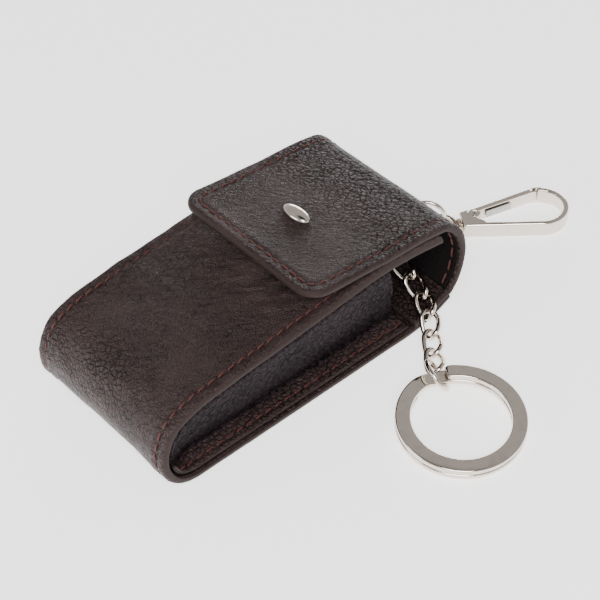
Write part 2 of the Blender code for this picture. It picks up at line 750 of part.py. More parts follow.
def eyelet_seat():
    """A matrix at the spine's outer face: Z points out of the spine."""
    path = strip_path()
    flap_crease, spine_crease = crease_distances(path)
    spine = cut_path(path, flap_crease, spine_crease)
    height = EYELET_HEIGHT_SHARE * BODY_HEIGHT
    distance = distance_where(spine, 1, height)
    point = point_at(spine, distance)
    along = (point_at(spine, distance + EYELET_FLANGE_RADIUS) - point_at(spine, distance - EYELET_FLANGE_RADIUS))
    along.normalize()
    y_axis = Vector((0, along.x, along.y))
    z_axis = ACROSS.cross(y_axis)
    matrix = Matrix((ACROSS, y_axis, z_axis)).transposed().to_4x4()
    matrix.translation = Vector((0, point.x, point.y))
    return matrix


def make_eyelet(spine, spine_lining, spine_pivot):
    matrix = eyelet_seat()
    barrel = EYELET_BORE_RADIUS + EYELET_WALL
    hole = barrel + SEAT_GAP
    for sheet in (spine, spine_lining):
        drill(sheet, "eyelet_hole", hole, -STRIP_DEPTH - CUT_OVERRUN, CUT_OVERRUN, matrix)
        seat = EYELET_FLANGE_RADIUS + SEAT_GAP
        drill(sheet, "washer_seat", seat, -STRIP_DEPTH - CUT_OVERRUN, -STRIP_DEPTH, matrix)
    flange_base = SEAT_GAP
    flange_top = flange_base + EYELET_FLANGE
    washer_top = -STRIP_DEPTH - SEAT_GAP
    washer_bottom = washer_top - WASHER_THICKNESS
    curl_top = washer_bottom - SEAT_GAP
    curl_bottom = curl_top - EYELET_FLANGE
    curl_radius = barrel + EYELET_WALL + SEAT_GAP
    bevel = EYELET_FLANGE / 2
    eyelet = turned("spine_eyelet", [
        (EYELET_BORE_RADIUS + bevel, flange_top), (EYELET_FLANGE_RADIUS - bevel, flange_top),
        (EYELET_FLANGE_RADIUS, flange_top - bevel), (EYELET_FLANGE_RADIUS, flange_base),
        (barrel, flange_base), (barrel, curl_top), (curl_radius, curl_top), (curl_radius, curl_bottom),
        (EYELET_BORE_RADIUS + bevel, curl_bottom), (EYELET_BORE_RADIUS, curl_bottom + bevel),
        (EYELET_BORE_RADIUS, flange_top - bevel),
    ], matrix)
    finish_piece(eyelet, POLISHED_NICKEL, spine_pivot)
    ring = turned("eyelet_washer", [
        (hole, washer_top), (EYELET_FLANGE_RADIUS, washer_top),
        (EYELET_FLANGE_RADIUS, washer_bottom), (hole, washer_bottom),
    ], matrix)
    finish_piece(ring, SPRING_STEEL, spine_pivot)


# Chain and jump rings

def link_outline():
    """Centre line of a flat link: two straight wires and two round ends."""
    half_length = (LINK_LENGTH - LINK_WIRE) / 2
    half_width = (LINK_WIDTH - LINK_WIRE) / 2
    points = []
    for side in (1, -1):
        for step in range(LINK_ARC_POINTS):
            angle = math.pi * (step / (LINK_ARC_POINTS - 1) - 0.5)
            x = side * (half_length - half_width + half_width * math.cos(angle))
            points.append((x, side * half_width * math.sin(angle)))
        for share in (1 / 3, -1 / 3):
            points.append((side * share * (half_length - half_width), side * half_width))
    return points


def make_link(name, centre, along, wide, finish, parent):
    """A curb link: its flat outline is twisted about its length."""
    sideways = along.cross(wide)
    span = LINK_LENGTH - LINK_WIRE
    points = []
    for x, y in link_outline():
        turn = math.radians(LINK_TWIST_DEG) * x / span
        points.append(centre + along * x + (wide * math.cos(turn) + sideways * math.sin(turn)) * y)
    return finish_piece(wire(name, points, LINK_WIRE, True), finish, parent)


def chain_layout():
    """Joints and directions of the links on both sides of the eyelet's link."""
    seat = eyelet_seat()
    centre = seat @ Vector((0, 0, EYELET_LINK_PROUD - STRIP_DEPTH / 2))
    first = heading(EYELET_LINK_HEADING_DEG, EYELET_LINK_RISE_DEG)
    inner = [centre + first * (LINK_PITCH / 2)]
    for heading_deg, share in zip(INNER_HEADINGS_DEG, INNER_HEIGHT_SHARES):
        height = END_JOINT_HEIGHT + (centre.z - END_JOINT_HEIGHT) * share
        inner.append(next_joint(inner[-1], heading_deg, height))
    outer = [centre - first * (LINK_PITCH / 2)]
    near, far = hook_ring_reach()
    wire_height = HOOK_HEIGHT / 2 + (near - far).z
    middle_height = wire_height + (outer[0].z - wire_height) * OUTER_HEIGHT_SHARE
    outer.append(next_joint(outer[0], OUTER_HEADINGS_DEG[0], middle_height))
    hold = RING_JOINT_OFFSET / LINK_PITCH
    last_height = (wire_height - middle_height * hold) / (1 - hold)
    outer.append(next_joint(outer[1], OUTER_HEADINGS_DEG[1], last_height))
    return centre, first, inner, outer


def wire_inside(joints):
    """Where a ring's wire lies inside the loop of the last link."""
    along = (joints[-1] - joints[-2]).normalized()
    return joints[-1] - along * RING_JOINT_OFFSET


def next_joint(joint, heading_deg, height):
    drop = height - joint.z
    level = math.sqrt(max(LINK_PITCH * LINK_PITCH - drop * drop, 0.0))
    return joint + heading(heading_deg) * level + UP * drop


def hook_ring_basis():
    """The ring's plane: its level direction and its upward one."""
    facing = math.radians(HOOK_RING_FACING_DEG)
    slope = math.radians(HOOK_RING_SLOPE_DEG)
    normal = Vector((
        math.sin(facing) * math.cos(slope), -math.cos(facing) * math.cos(slope), math.sin(slope),
    ))
    level = Vector((math.cos(facing), math.sin(facing), 0))
    return level, normal.cross(level)


def hook_ring_reach():
    """From the ring's centre to its wire inside the last link and inside the swivel eye."""
    level, rising = hook_ring_basis()
    near_turn, far_turn = math.radians(HOOK_RING_NEAR_DEG), math.radians(HOOK_RING_FAR_DEG)
    near = level * math.cos(near_turn) + rising * math.sin(near_turn)
    far = level * math.cos(far_turn) + rising * math.sin(far_turn)
    return near * HOOK_RING_RADIUS, far * HOOK_RING_RADIUS


def make_jump_ring(name, centre, first, second, radius, parent):
    steps = ROUND_SEGMENTS
    points = []
    for step in range(steps):
        angle = 2 * math.pi * step / steps
        points.append(centre + (first * math.cos(angle) + second * math.sin(angle)) * radius)
    return finish_piece(wire(name, points, JUMP_RING_WIRE, True), POLISHED_NICKEL, parent)


def carried(wide, along, roll_deg):
    """The wide direction carried on to the next link's own direction, and rolled."""
    level = (wide - along * wide.dot(along)).normalized()
    return (Matrix.Rotation(math.radians(roll_deg), 3, along) @ level).normalized()


def joint_axis(index, along, wide):
    """Curb links swing about their width and their thickness in turn, with alternate signs."""
    axis = wide if index % 2 else along.cross(wide)
    return axis if index % 4 < 2 else -axis


def make_chain(spine_pivot):
    centre, first, inner, outer = chain_layout()
    seat = eyelet_seat()
    slide_axis = seat.to_3x3() @ Vector((0, 0, 1))
    eyelet_pivot = pivot("chain_link_03", centre, slide_axis, spine_pivot)
    level = (UP - first * UP.dot(first)).normalized()
    wide = carried(level, first, EYELET_LINK_ROLL_DEG)
    make_link("chain_link_03", centre, first, wide, POLISHED_NICKEL, eyelet_pivot)

    parent, side = eyelet_pivot, wide
    for index, (start, end) in enumerate(zip(inner, inner[1:])):
        along = (end - start).normalized()
        side = carried(side, along, INNER_ROLL_STEP_DEG)
        name = "chain_link_%02d" % (index + 4)
        parent = pivot(name, start, joint_axis(index, along, side), parent)
        make_link(name, (start + end) / 2, along, side, POLISHED_NICKEL, parent)
    inner_end = parent, inner[-1], wire_inside(inner)

    parent, side = eyelet_pivot, wide
    for index, (start, end) in enumerate(zip(outer, outer[1:])):
        along = (start - end).normalized()
        side = carried(side, along, OUTER_ROLL_STEP_DEG)
        name = "chain_link_%02d" % (2 - index)
        parent = pivot(name, start, joint_axis(index, along, side), parent)
        make_link(name, (start + end) / 2, along, side, POLISHED_NICKEL, parent)
    return inner_end, (parent, outer[-1], wire_inside(outer))


# Split ring

def end_ring_place(wire_place):
    outward = heading(END_RING_HEADING_DEG, END_RING_RISE_DEG)
    across = UP.cross(outward).normalized()
    rising = outward.cross(across)
    lean = math.radians(END_RING_LEAN_DEG)
    second = rising * math.cos(lean) - across * math.sin(lean)
    return wire_place + outward * JUMP_RING_RADIUS, outward, second


def make_end_ring(parent, joint, wire_place):
    centre, outward, second = end_ring_place(wire_place)
    end_pivot = pivot("end_ring", joint, second, parent)
    make_jump_ring("end_ring", centre, outward, second, JUMP_RING_RADIUS, end_pivot)
    return end_pivot, centre + outward * SPLIT_RING_HANG


def split_ring_frame(band_place):
    """The ring's matrix: it leans from the jump ring down to the surface on its far side."""
    middle = (SPLIT_RING_DIAMETER - SPLIT_BAND_WIDTH) / 2
    half_height = SPLIT_COIL_THICKNESS + SPLIT_COIL_GAP / 2
    reach = middle + SPLIT_RING_DIAMETER / 2
    tilt = math.asin(max(min((band_place.z - half_height - SPLIT_COIL_GAP / 2) / reach, 1), 0))
    outward = heading(SPLIT_RING_HEADING_DEG, -math.degrees(tilt))
    across = UP.cross(outward).normalized()
    matrix = Matrix((outward, across, outward.cross(across))).transposed().to_4x4()
    matrix.translation = band_place + outward * middle
    return matrix


def split_ring_level(turn_deg):
    """Height of the coil in its own frame: it climbs from the lower turn in one short stretch."""
    step = SPLIT_COIL_THICKNESS + SPLIT_COIL_GAP
    climb = min(max((turn_deg - 360.0) / SPLIT_JOG_SPAN_DEG, 0.0), 1.0)
    return step * (climb * climb * (3 - 2 * climb) - 0.5)


def make_split_ring(parent, band_place):
    matrix = split_ring_frame(band_place)
    ring_pivot = pivot("split_ring", band_place, matrix.to_3x3() @ Vector((0, 1, 0)), parent)
    middle = (SPLIT_RING_DIAMETER - SPLIT_BAND_WIDTH) / 2
    start = SPLIT_JOG_SPAN_DEG + SPLIT_END_GAP_DEG
    end = 720.0 - SPLIT_END_GAP_DEG
    count = math.ceil((end - start) / 360.0 * SPLIT_STEPS_PER_TURN)
    points = []
    for step in range(count + 1):
        turn_deg = start + (end - start) * step / count
        angle = math.radians(SPLIT_JOG_DEG + turn_deg)
        points.append((middle * math.cos(angle), middle * math.sin(angle), split_ring_level(turn_deg)))
    section = rounded_section(SPLIT_BAND_WIDTH, SPLIT_COIL_THICKNESS, SPLIT_EDGE_ROUNDING)
    curve = bpy.data.curves.new("split_ring", "CURVE")
    curve.dimensions = "3D"
    curve.twist_mode = "Z_UP"
    curve.bevel_mode = "OBJECT"
    curve.bevel_object = section
    curve.use_fill_caps = True
    spline = curve.splines.new("POLY")
    spline.points.add(len(points) - 1)
    for point, place in zip(spline.points, points):
        point.co = (*place, 1)
    item = solid_from_curve("split_ring", curve, matrix, PARTS)
    return finish_piece(item, POLISHED_NICKEL, ring_pivot)


def rounded_section(width, height, rounding):
    """The coil's section as a curve that the split ring is swept with."""
    curve = bpy.data.curves.new("coil_section", "CURVE")
    curve.dimensions = "2D"
    spline = curve.splines.new("POLY")
    half_width, half_height = width / 2, height / 2
    outline = []
    for x_side, y_side in ((1, 1), (-1, 1), (-1, -1), (1, -1)):
        near_x, near_y = x_side * (half_width - rounding), y_side * (half_height - rounding)
        pair = [(x_side * half_width, near_y), (near_x, y_side * half_height)]
        outline += pair if x_side == y_side else pair[::-1]
    spline.points.add(len(outline) - 1)
    for point, place in zip(spline.points, outline):
        point.co = (*place, 0, 1)
    spline.use_cyclic_u = True
    item = bpy.data.objects.new("coil_section", curve)
    CUTTERS.objects.link(item)
    item.hide_render = True
    item.display_type = "WIRE"
    return item


# Snap hook

def hook_frame(ring_far_place):
    """The hook lies flat, with its swivel eye round the jump ring's wire."""
    along = heading(HOOK_HEADING_DEG)
    across = UP.cross(along)
    eye_radius = (SWIVEL_EYE_DIAMETER - SWIVEL_EYE_WIRE) / 2
    wire_place = eye_centre_place() - eye_radius + SWIVEL_EYE_HOLD
    origin = ring_far_place - along * wire_place
    origin.z = HOOK_HEIGHT / 2
    matrix = Matrix((along, across, UP)).transposed().to_4x4()
    matrix.translation = origin
    return matrix


def eye_centre_place():
    """The swivel eye's centre along the hook, past the collar."""
    return collar_start() - SWIVEL_EYE_DIAMETER / 2 + EDGE_ROUNDING


def collar_start():
    return HOOK_BASE_START - SEAT_GAP - SWIVEL_COLLAR_LENGTH


class HookShape:
    """The teardrop that the hook's frame and gate follow."""

    def __init__(self):
        self.centre = Vector((HOOK_LENGTH - HOOK_END_RADIUS, 0))
        corner = Vector((HOOK_BASE_START, HOOK_BASE_HALF_WIDTH))
        reach = self.centre - corner
        spread = math.atan2(reach.y, reach.x) + math.asin(HOOK_END_RADIUS / reach.length)
        self.spread_deg = math.degrees(spread)
        self.corner = corner
        self.along = Vector((math.cos(spread), math.sin(spread)))
        self.outward = Vector((-self.along.y, self.along.x))
        self.tangent_deg = 90.0 + self.spread_deg

    def on_line(self, place, depth):
        """A point on the gate side's straight edge, moved in by the depth."""
        start = self.corner - self.outward * depth
        return start + self.along * ((place - start.x) / self.along.x)

    def band_arc(self, depth, start_deg, end_deg):
        return arc(self.centre, HOOK_END_RADIUS - depth, start_deg, end_deg)

    def pivot_place(self):
        return self.on_line(GATE_PIVOT_PLACE, GATE_EAR_RADIUS)


def make_hook_body(matrix, parent):
    shape = HookShape()
    pivot_at = shape.pivot_place()
    half = (HOOK_BAND - LAP_GAP) / 2
    open_deg = shape.spread_deg - GATE_OPENING_DEG - 90.0
    lobe = arc(pivot_at, GATE_EAR_RADIUS, shape.tangent_deg, open_deg)
    inner_floor = shape.on_line(HOOK_BASE_END, HOOK_BAND)
    outline = [shape.corner.copy()] + lobe
    outline.append(Vector((HOOK_BASE_END, lobe[-1].y - (HOOK_BASE_END - lobe[-1].x))))
    outline.append(Vector((HOOK_BASE_END, -inner_floor.y)))
    outline += shape.band_arc(HOOK_BAND, -shape.tangent_deg, NOSE_STEP_DEG)
    outline += shape.band_arc(half, NOSE_STEP_DEG, NOSE_LIP_END_DEG)
    outline += shape.band_arc(0, NOSE_LIP_END_DEG, -shape.tangent_deg)
    outline.append(Vector((shape.corner.x, -shape.corner.y)))
    body = prism("hook_body", outline, HOOK_HEIGHT, matrix)
    round_edges(body, HOOK_EDGE_ROUNDING)
    ear_top = GATE_HEIGHT / 2
    tongue = ear_top - GATE_EAR_THICKNESS - SEAT_GAP
    at_pivot = matrix @ Matrix.Translation((pivot_at.x, pivot_at.y, 0))
    pocket = GATE_EAR_RADIUS + SEAT_GAP
    drill(body, "upper_pocket", pocket, tongue, HOOK_HEIGHT, at_pivot)
    drill(body, "lower_pocket", pocket, -HOOK_HEIGHT, -tongue, at_pivot)
    drill(body, "pin_hole", PIN_RADIUS + PIN_CLEARANCE, -HOOK_HEIGHT, HOOK_HEIGHT, at_pivot)
    along = matrix @ Matrix.Rotation(math.radians(90), 4, "Y")
    shank_end = HOOK_BASE_START + SWIVEL_WALL
    head_room = SWIVEL_HEAD_RADIUS + SWIVEL_CLEARANCE
    cavity_end = shank_end + SWIVEL_HEAD_LENGTH + 2 * SWIVEL_CLEARANCE
    shank_room = SWIVEL_SHANK_RADIUS + SWIVEL_CLEARANCE
    drill(body, "shank_bore", shank_room, HOOK_BASE_START - CUT_OVERRUN, shank_end + SWIVEL_CLEARANCE, along)
    drill(body, "head_bore", head_room, shank_end, cavity_end, along)
    return finish_piece(body, POLISHED_NICKEL, parent)


def make_gate(matrix, parent):
    shape = HookShape()
    pivot_at = shape.pivot_place()
    half = (HOOK_BAND + LAP_GAP) / 2
    lap_gap_deg = math.degrees(LAP_GAP / (HOOK_END_RADIUS - HOOK_BAND))
    tip_deg = NOSE_STEP_DEG + lap_gap_deg
    lip_deg = NOSE_LIP_END_DEG + lap_gap_deg
    inner_reach = math.sqrt(GATE_EAR_RADIUS ** 2 - (GATE_EAR_RADIUS - HOOK_BAND) ** 2)
    inner_start = pivot_at + shape.outward * (GATE_EAR_RADIUS - HOOK_BAND) + shape.along * inner_reach
    inner_deg = shape.spread_deg + math.degrees(math.asin((GATE_EAR_RADIUS - HOOK_BAND) / GATE_EAR_RADIUS))
    outline = shape.band_arc(0, shape.tangent_deg, lip_deg)
    outline += shape.band_arc(half, lip_deg, tip_deg)
    outline += shape.band_arc(HOOK_BAND, tip_deg, shape.tangent_deg)
    outline.append(inner_start)
    outline += arc(pivot_at, GATE_EAR_RADIUS, inner_deg, shape.tangent_deg - 360.0)[1:]
    gate = prism("hook_gate", outline, GATE_HEIGHT, matrix)
    round_edges(gate, HOOK_EDGE_ROUNDING)
    at_pivot = matrix @ Matrix.Translation((pivot_at.x, pivot_at.y, 0))
    ear_floor = GATE_HEIGHT / 2 - GATE_EAR_THICKNESS
    drill(gate, "ear_slot", GATE_EAR_RADIUS + SEAT_GAP, -ear_floor, ear_floor, at_pivot)
    drill(gate, "pin_hole", PIN_RADIUS + PIN_CLEARANCE, -HOOK_HEIGHT, HOOK_HEIGHT, at_pivot)
    finish_piece(gate, POLISHED_NICKEL, parent)
    pin = cylinder("gate_pin", PIN_RADIUS, -GATE_HEIGHT / 2, GATE_HEIGHT / 2, at_pivot)
    finish_piece(pin, POLISHED_NICKEL, parent)
    leaf_depth = HOOK_BAND + SEAT_GAP
    leaf_start = GATE_PIVOT_PLACE + 2 * GATE_EAR_RADIUS + SEAT_GAP
    leaf_end = leaf_start + SPRING_LENGTH
    leaf = [shape.on_line(leaf_start, leaf_depth), shape.on_line(leaf_end, leaf_depth)]
    leaf += [shape.on_line(leaf_end, leaf_depth + SPRING_THICKNESS)]
    leaf += [shape.on_line(leaf_start, leaf_depth + SPRING_THICKNESS)]
    finish_piece(prism("gate_spring", leaf, SPRING_HEIGHT, matrix), SPRING_STEEL, parent)


def make_swivel_eye(matrix, parent):
    eye_radius = (SWIVEL_EYE_DIAMETER - SWIVEL_EYE_WIRE) / 2
    rolled = matrix @ Matrix.Rotation(math.radians(SWIVEL_EYE_ROLL_DEG), 4, "X")
    points = []
    for step in range(ROUND_SEGMENTS):
        angle = 2 * math.pi * step / ROUND_SEGMENTS
        place = Vector((eye_centre_place() + eye_radius * math.cos(angle), eye_radius * math.sin(angle), 0))
        points.append(rolled @ place)
    loop = wire("swivel_loop", points, SWIVEL_EYE_WIRE, True)
    eye = solid_from_curve("swivel_eye", loop.data, Matrix(), PARTS)
    bpy.data.objects.remove(loop, do_unlink=True)
    collar = collar_start()
    shank_end = HOOK_BASE_START + SWIVEL_WALL
    head_start = shank_end + SWIVEL_CLEARANCE
    head_end = head_start + SWIVEL_HEAD_LENGTH
    along = matrix @ Matrix.Rotation(math.radians(90), 4, "Y")
    stem = turned("swivel_stem", [
        (0, head_end), (SWIVEL_HEAD_RADIUS, head_end), (SWIVEL_HEAD_RADIUS, head_start),
        (SWIVEL_SHANK_RADIUS, head_start), (SWIVEL_SHANK_RADIUS, collar + SWIVEL_COLLAR_LENGTH),
        (SWIVEL_COLLAR_RADIUS, collar + SWIVEL_COLLAR_LENGTH), (SWIVEL_COLLAR_RADIUS, collar),
        (0, collar),
    ], along, closed=False, collection=CUTTERS)
    join_or_cut(eye, stem, "UNION")
    return finish_piece(eye, POLISHED_NICKEL, parent)


# Assembly

def crease_place(distance):
    point = point_at(strip_path(), distance)
    return Vector((0, point.x, point.y))


def make_hook(parent, joint, wire_place):
    near, far = hook_ring_reach()
    level, rising = hook_ring_basis()
    near_turn = math.radians(HOOK_RING_NEAR_DEG)
    tangent = rising * math.cos(near_turn) - level * math.sin(near_turn)
    ring_pivot = pivot("hook_ring", joint, tangent, parent)
    centre = wire_place - near
    make_jump_ring("hook_ring", centre, level, rising, HOOK_RING_RADIUS, ring_pivot)
    matrix = hook_frame(centre + far)
    across = matrix.to_3x3() @ Vector((0, 1, 0))
    eye_pivot = pivot("swivel_eye", centre + far, across, ring_pivot)
    make_swivel_eye(matrix, eye_pivot)
    along = matrix.to_3x3() @ Vector((1, 0, 0))
    hook_pivot = pivot("hook_body", matrix.translation, along, eye_pivot)
    make_hook_body(matrix, hook_pivot)
    pivot_at = HookShape().pivot_place()
    gate_place = matrix @ Vector((pivot_at.x, pivot_at.y, 0))
    gate_pivot = pivot("hook_gate", gate_place, -UP, hook_pivot)
    make_gate(matrix, gate_pivot)


def main():
    path = strip_path()
    flap_crease, spine_crease = crease_distances(path)
    spine_pivot = pivot("spine_leather", crease_place(spine_crease), -ACROSS)
    flap_pivot = pivot("flap_leather", crease_place(flap_crease), -ACROSS, spine_pivot)
    wrap = make_body()
    make_gusset("right_gusset", 1)
    make_gusset("left_gusset", -1)
    flap, flap_lining, spine, spine_lining = make_strip(spine_pivot, flap_pivot)
    make_snap(wrap, flap, flap_lining, flap_pivot)
    make_ornament(flap, flap_pivot)
    make_eyelet(spine, spine_lining, spine_pivot)
    inner_end, outer_end = make_chain(spine_pivot)
    end_pivot, band_place = make_end_ring(*inner_end)
    make_split_ring(end_pivot, band_place)
    make_hook(*outer_end)


clear_scene()
PARTS = new_collection("leather_keychain")
CUTTERS = new_collection("cutters")
main()
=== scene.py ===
"""Looks of the leather keychain: grained leather, stitching and polished fittings round its CAD frame.

Metres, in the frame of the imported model. Side views of the leather are pairs of Y and Z.
"""
import json
import math

import bmesh
import bpy
import numpy as np
from mathutils import Matrix, Vector


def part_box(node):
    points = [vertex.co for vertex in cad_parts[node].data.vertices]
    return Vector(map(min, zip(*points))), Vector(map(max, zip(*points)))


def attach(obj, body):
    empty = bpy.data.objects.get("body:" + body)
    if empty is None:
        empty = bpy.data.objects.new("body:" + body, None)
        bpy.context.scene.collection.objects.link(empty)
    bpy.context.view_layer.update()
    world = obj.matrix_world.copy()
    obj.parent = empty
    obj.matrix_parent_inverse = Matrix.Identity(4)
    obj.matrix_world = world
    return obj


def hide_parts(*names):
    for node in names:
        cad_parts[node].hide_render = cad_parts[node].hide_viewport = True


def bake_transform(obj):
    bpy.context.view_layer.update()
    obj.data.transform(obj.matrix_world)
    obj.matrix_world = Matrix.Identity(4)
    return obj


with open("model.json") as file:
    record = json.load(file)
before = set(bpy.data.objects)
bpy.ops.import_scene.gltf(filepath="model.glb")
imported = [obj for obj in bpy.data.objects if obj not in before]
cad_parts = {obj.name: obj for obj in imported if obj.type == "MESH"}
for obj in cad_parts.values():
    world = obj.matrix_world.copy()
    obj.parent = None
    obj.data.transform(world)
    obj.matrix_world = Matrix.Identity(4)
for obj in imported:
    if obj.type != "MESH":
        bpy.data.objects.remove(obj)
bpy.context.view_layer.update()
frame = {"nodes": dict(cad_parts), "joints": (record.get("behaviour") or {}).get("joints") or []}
JOINTS = {joint["child"]: joint for joint in frame["joints"]}
UP = Vector((0, 0, 1))

# Camera
AZIMUTH_DEG = 50.65
ELEVATION_DEG = 44.02
ROLL_DEG = -2.49
CAMERA_DISTANCE = 0.4388
LOOK_AT = Vector((-0.00463, 0.0221, 0.0))
LENS_SHARE = 1671.7 / 600
SENSOR_MM = 36.0
CLIP_START = 0.01

# Light: name, place, width, height and watts
LIGHTS = (
    ("key_light", (0.62, -0.50, 0.85), 0.60, 0.60, 13.0),
    ("rear_light", (-0.58, 0.86, 0.16), 0.60, 0.14, 3.0),
    ("left_light", (-0.30, -0.90, 0.40), 0.50, 0.30, 2.5),
)
SKY_LOW = (0.75, 0.75, 0.75)
SKY_HIGH = (0.50, 0.49, 0.48)
SKY_TOP = (0.04, 0.04, 0.04)
SKY_BAND = (0.05, 0.55)
SKY_TOP_BAND = (0.90, 0.98)
FLOOR_GLOW = 1.7
THREAD_COLOURS = ((0.040, 0.0110, 0.0080), (0.125, 0.030, 0.022))

# Leather sizes, as the frame has them
POUCH_LENGTH = 0.0982
HALF_WIDTH = 0.025
BODY_HEIGHT = 0.0298
TOE_PLACE_SHARE = -0.458
TOE_PLACE = TOE_PLACE_SHARE * POUCH_LENGTH
WRAP_LEATHER = 0.0013
WRAP_DEPTH = 0.0024
STRIP_LEATHER = 0.0012
STRIP_DEPTH = 0.0022
GUSSET_LEATHER = 0.0009
SEAT_GAP = 0.0003
GUSSET_DEPTH = WRAP_DEPTH + SEAT_GAP + GUSSET_LEATHER / 2
SOCKET_HEIGHT = 0.0013
SNAP_TILT_ROOM = 0.00115
STUD_PLATE = 0.0004
SNAP_STACK = SEAT_GAP + SOCKET_HEIGHT + SNAP_TILT_ROOM + STUD_PLATE + SEAT_GAP
BACK_RISE_SHARES = ((0.950, 0.141), (0.871, 0.034), (0.784, 0.0))
TOE_AND_FRONT_SHARES = (
    (0.102, 0.0), (0.035, 0.081), (0.002, 0.275), (0.004, 0.503), (0.041, 0.711), (0.101, 0.805),
    (0.214, 0.862), (0.397, 0.913), (0.580, 0.970), (0.703, 1.0), (0.825, 0.977), (0.913, 0.936),
)
SPINE_SHARES = (
    (0.944, 0.188), (0.9690, 0.268), (0.9868, 0.379), (0.9970, 0.503),
    (1.0, 0.611), (0.9949, 0.738), (0.9817, 0.852),
)
CREASE_SHARES = (0.9613, 0.946)
FLAP_PLACE_SHARES = (0.4684, 0.4990, 0.5499, 0.6008, 0.6619, 0.7230, 0.8554, 0.8921, 0.9328)
FLAP_LIFT_SHARES = (1.51, 1.32, 1.0, 0.72, 0.42, 0.17, 0.26, 0.26, 0.10)
LINING_STOP_SHARE = 0.815
FOOT_START_SHARE = 0.820
FLAP_CORNER_RADIUS = 0.006
MID_SPINE_SHARE = 0.64
SPINE_LINING_STOP = 0.013

SIDES = (("right", 1), ("left", -1))
GUSSET_TAB_INSET = 0.007
GUSSET_CORNER_INSET = 0.0012
GUSSET_CREASE_INSET = 0.0072
GUSSET_TOE_CREASE_INSET = 0.0024
GUSSET_FLANGE_INSET = 0.0006
GUSSET_BEND_RADIUS = 0.0010
GUSSET_BULGE = 0.0009
GUSSET_FRONT_MOUTH_SHARE = 0.737
GUSSET_BACK_MOUTH_SHARE = 0.804
GUSSET_TOE_REACH_SHARE = 0.80
GUSSET_BEND_TURNS = np.radians([22.5, 45, 67.5])
EYELET_BORE = 0.0036
EYELET_WALL = 0.0004

# Fineness of the meshes
GRID_STEP = 0.00047
CURVE_STEPS = 24
TAB_STEPS = 8
WALL_FLAT_STEPS = 150
WALL_TOE_STEPS = 56
WALL_HEIGHT_STEPS = 54
FLANGE_STEPS = 15
EDGE_ROUNDING = 0.00035
THIN_EDGE_SHARE = 0.45
WALL_EDGE_SHARE = 0.40
RIM_FLAT_SHARE = 0.08
PAINTED_EDGE = 2.2 * EDGE_ROUNDING
OUTER_ROUNDING_SHARE = 0.7
RIM_ROUNDING = 0.0009
RIM_WIDTH = 0.0012
RIM_BLEND = 0.0007
LINING_INSET = 0.0014
SEAM_ANGLE_DEG = 55.0
SHARP_ANGLE_DEG = 28.0
HOLE_STEPS = 48
WIRE_STEPS = 5
PLATE_EDGE_STEPS = 4
WELD_DISTANCE = 0.000002
NEAR = 0.000001
TINY = 1e-12
NOISE_CELLS = 64
OCTAVE_SCALE = 2.1
OCTAVE_SHARE = 0.5
PEBBLE_SPOTS = (0.08, 0.92)
PEBBLE_CREASE_SHARE = 0.5
EDGE_LINES = (0.0, 0.05, 0.18, 0.4, 0.7, 1.0)
TEXTURE_SCALE = 100.0
TEXTURE_SHIFT = 7.3
WALL_TEXTURE_SHIFTS = {1: 0.2, -1: 0.3}

# Relief of the leather: rows of height, size, seed and stretch along the first direction
PANEL_FOLDS = ((0.00026, 0.020, 3, 1.0), (0.00012, 0.0062, 5, 0.6))
TOE_FOLDS = ((0.00009, 0.0032, 11, 1.6),)
PULL_FOLDS = ((1.0, 0.0021, 23, 2.6),)
STRIP_FOLDS = ((0.00016, 0.017, 31, 1.0), (0.00006, 0.0060, 33, 1.0))
CREASE_FOLDS = ((0.00008, 0.0026, 37, 2.0),)
LINING_FOLDS = ((0.00006, 0.012, 41, 1.0),)
WALL_SLUMP = ((0.00034, 0.013, 0, 1.7),)
WALL_CREASES = ((0.00040, 0.0035, 5, 3.0),)
WALL_WRINKLES = ((0.00024, 0.0036, 9, 1.8),)
WRAP_GRAIN_FOLDS = ((0.22, 0.014, 71, 1.0),)
STRIP_GRAIN_FOLDS = ((0.15, 0.012, 73, 1.0),)

# How far each relief reaches
TOE_FOLDS_REACH = 0.016
TOE_GRAIN_REACH = 0.020
BACK_GRAIN_FADE = 0.01
CREASE_FOLDS_REACH = 0.008
PULL_PLACE = 0.001
PULL_REACH = 0.010
PULL_SPREAD = 0.019
PULL_SLANT_SHARES = (0.634, 0.773)
PULL_HEIGHT = 0.00042
PRESSED_DEPTH = 0.0001
PRESSED_FROM_TOE = 0.006
WALL_CALM = 0.009
WALL_FADE = 0.003
MOUTH_REACH = 0.014

# Pebbles and how coarse each leather is, and how much painted shade darkens its creases, pull marks and flap
# tip
PEBBLE_SIZE = 0.0018
PEBBLE_HEIGHT = 0.00008
PEBBLE_LEVEL_SHARE = 0.6
WRAP_SEED = 81
STRIP_SEED = 83
WALL_SEEDS = {1: 51, -1: 61}
WALL_PEBBLE_SEED = 12
WALL_PEBBLE_SIZE = 0.0025
FLANGE_PEBBLE_HEIGHT = 0.00006
WALL_PEBBLE_RISE = 0.00016
PANEL_GRAIN_SHARE = 0.66
TOE_GRAIN_SHARE = 0.22
TIP_GRAIN_SHARE = 0.42
CREASE_GRAIN_SHARE = 0.95
LINING_GRAIN_SHARE = 0.7
WRAP_SHADE = 0.35
PULL_SHADE = 0.70
STRIP_SHADE = 0.50
TIP_SHADE = 0.80
FLANGE_SHADE = 0.2
WALL_SHADE_RISE = 0.6

# Fine wrinkles, as bump: their slant to the pouch's length, and length to width
WRINKLE_TURN = math.radians(39.4)
WRINKLE_STRETCH = 3.2

# The leather shader's mix: bending of the cells, small ones, pores, and how its edges differ
WARP_SHARE = 0.11
SMALL_PEBBLE_SCALE = 2.3
CELLS_SHARE = 0.88
PORES_SHARE = 0.12
EDGE_CALM_SHARE = 0.85
EDGE_ROUGHER = 0.25
LIGHTER_SCALE = 1.35
POLISH_BELOW = 0.07
POLISH_ABOVE = 0.10

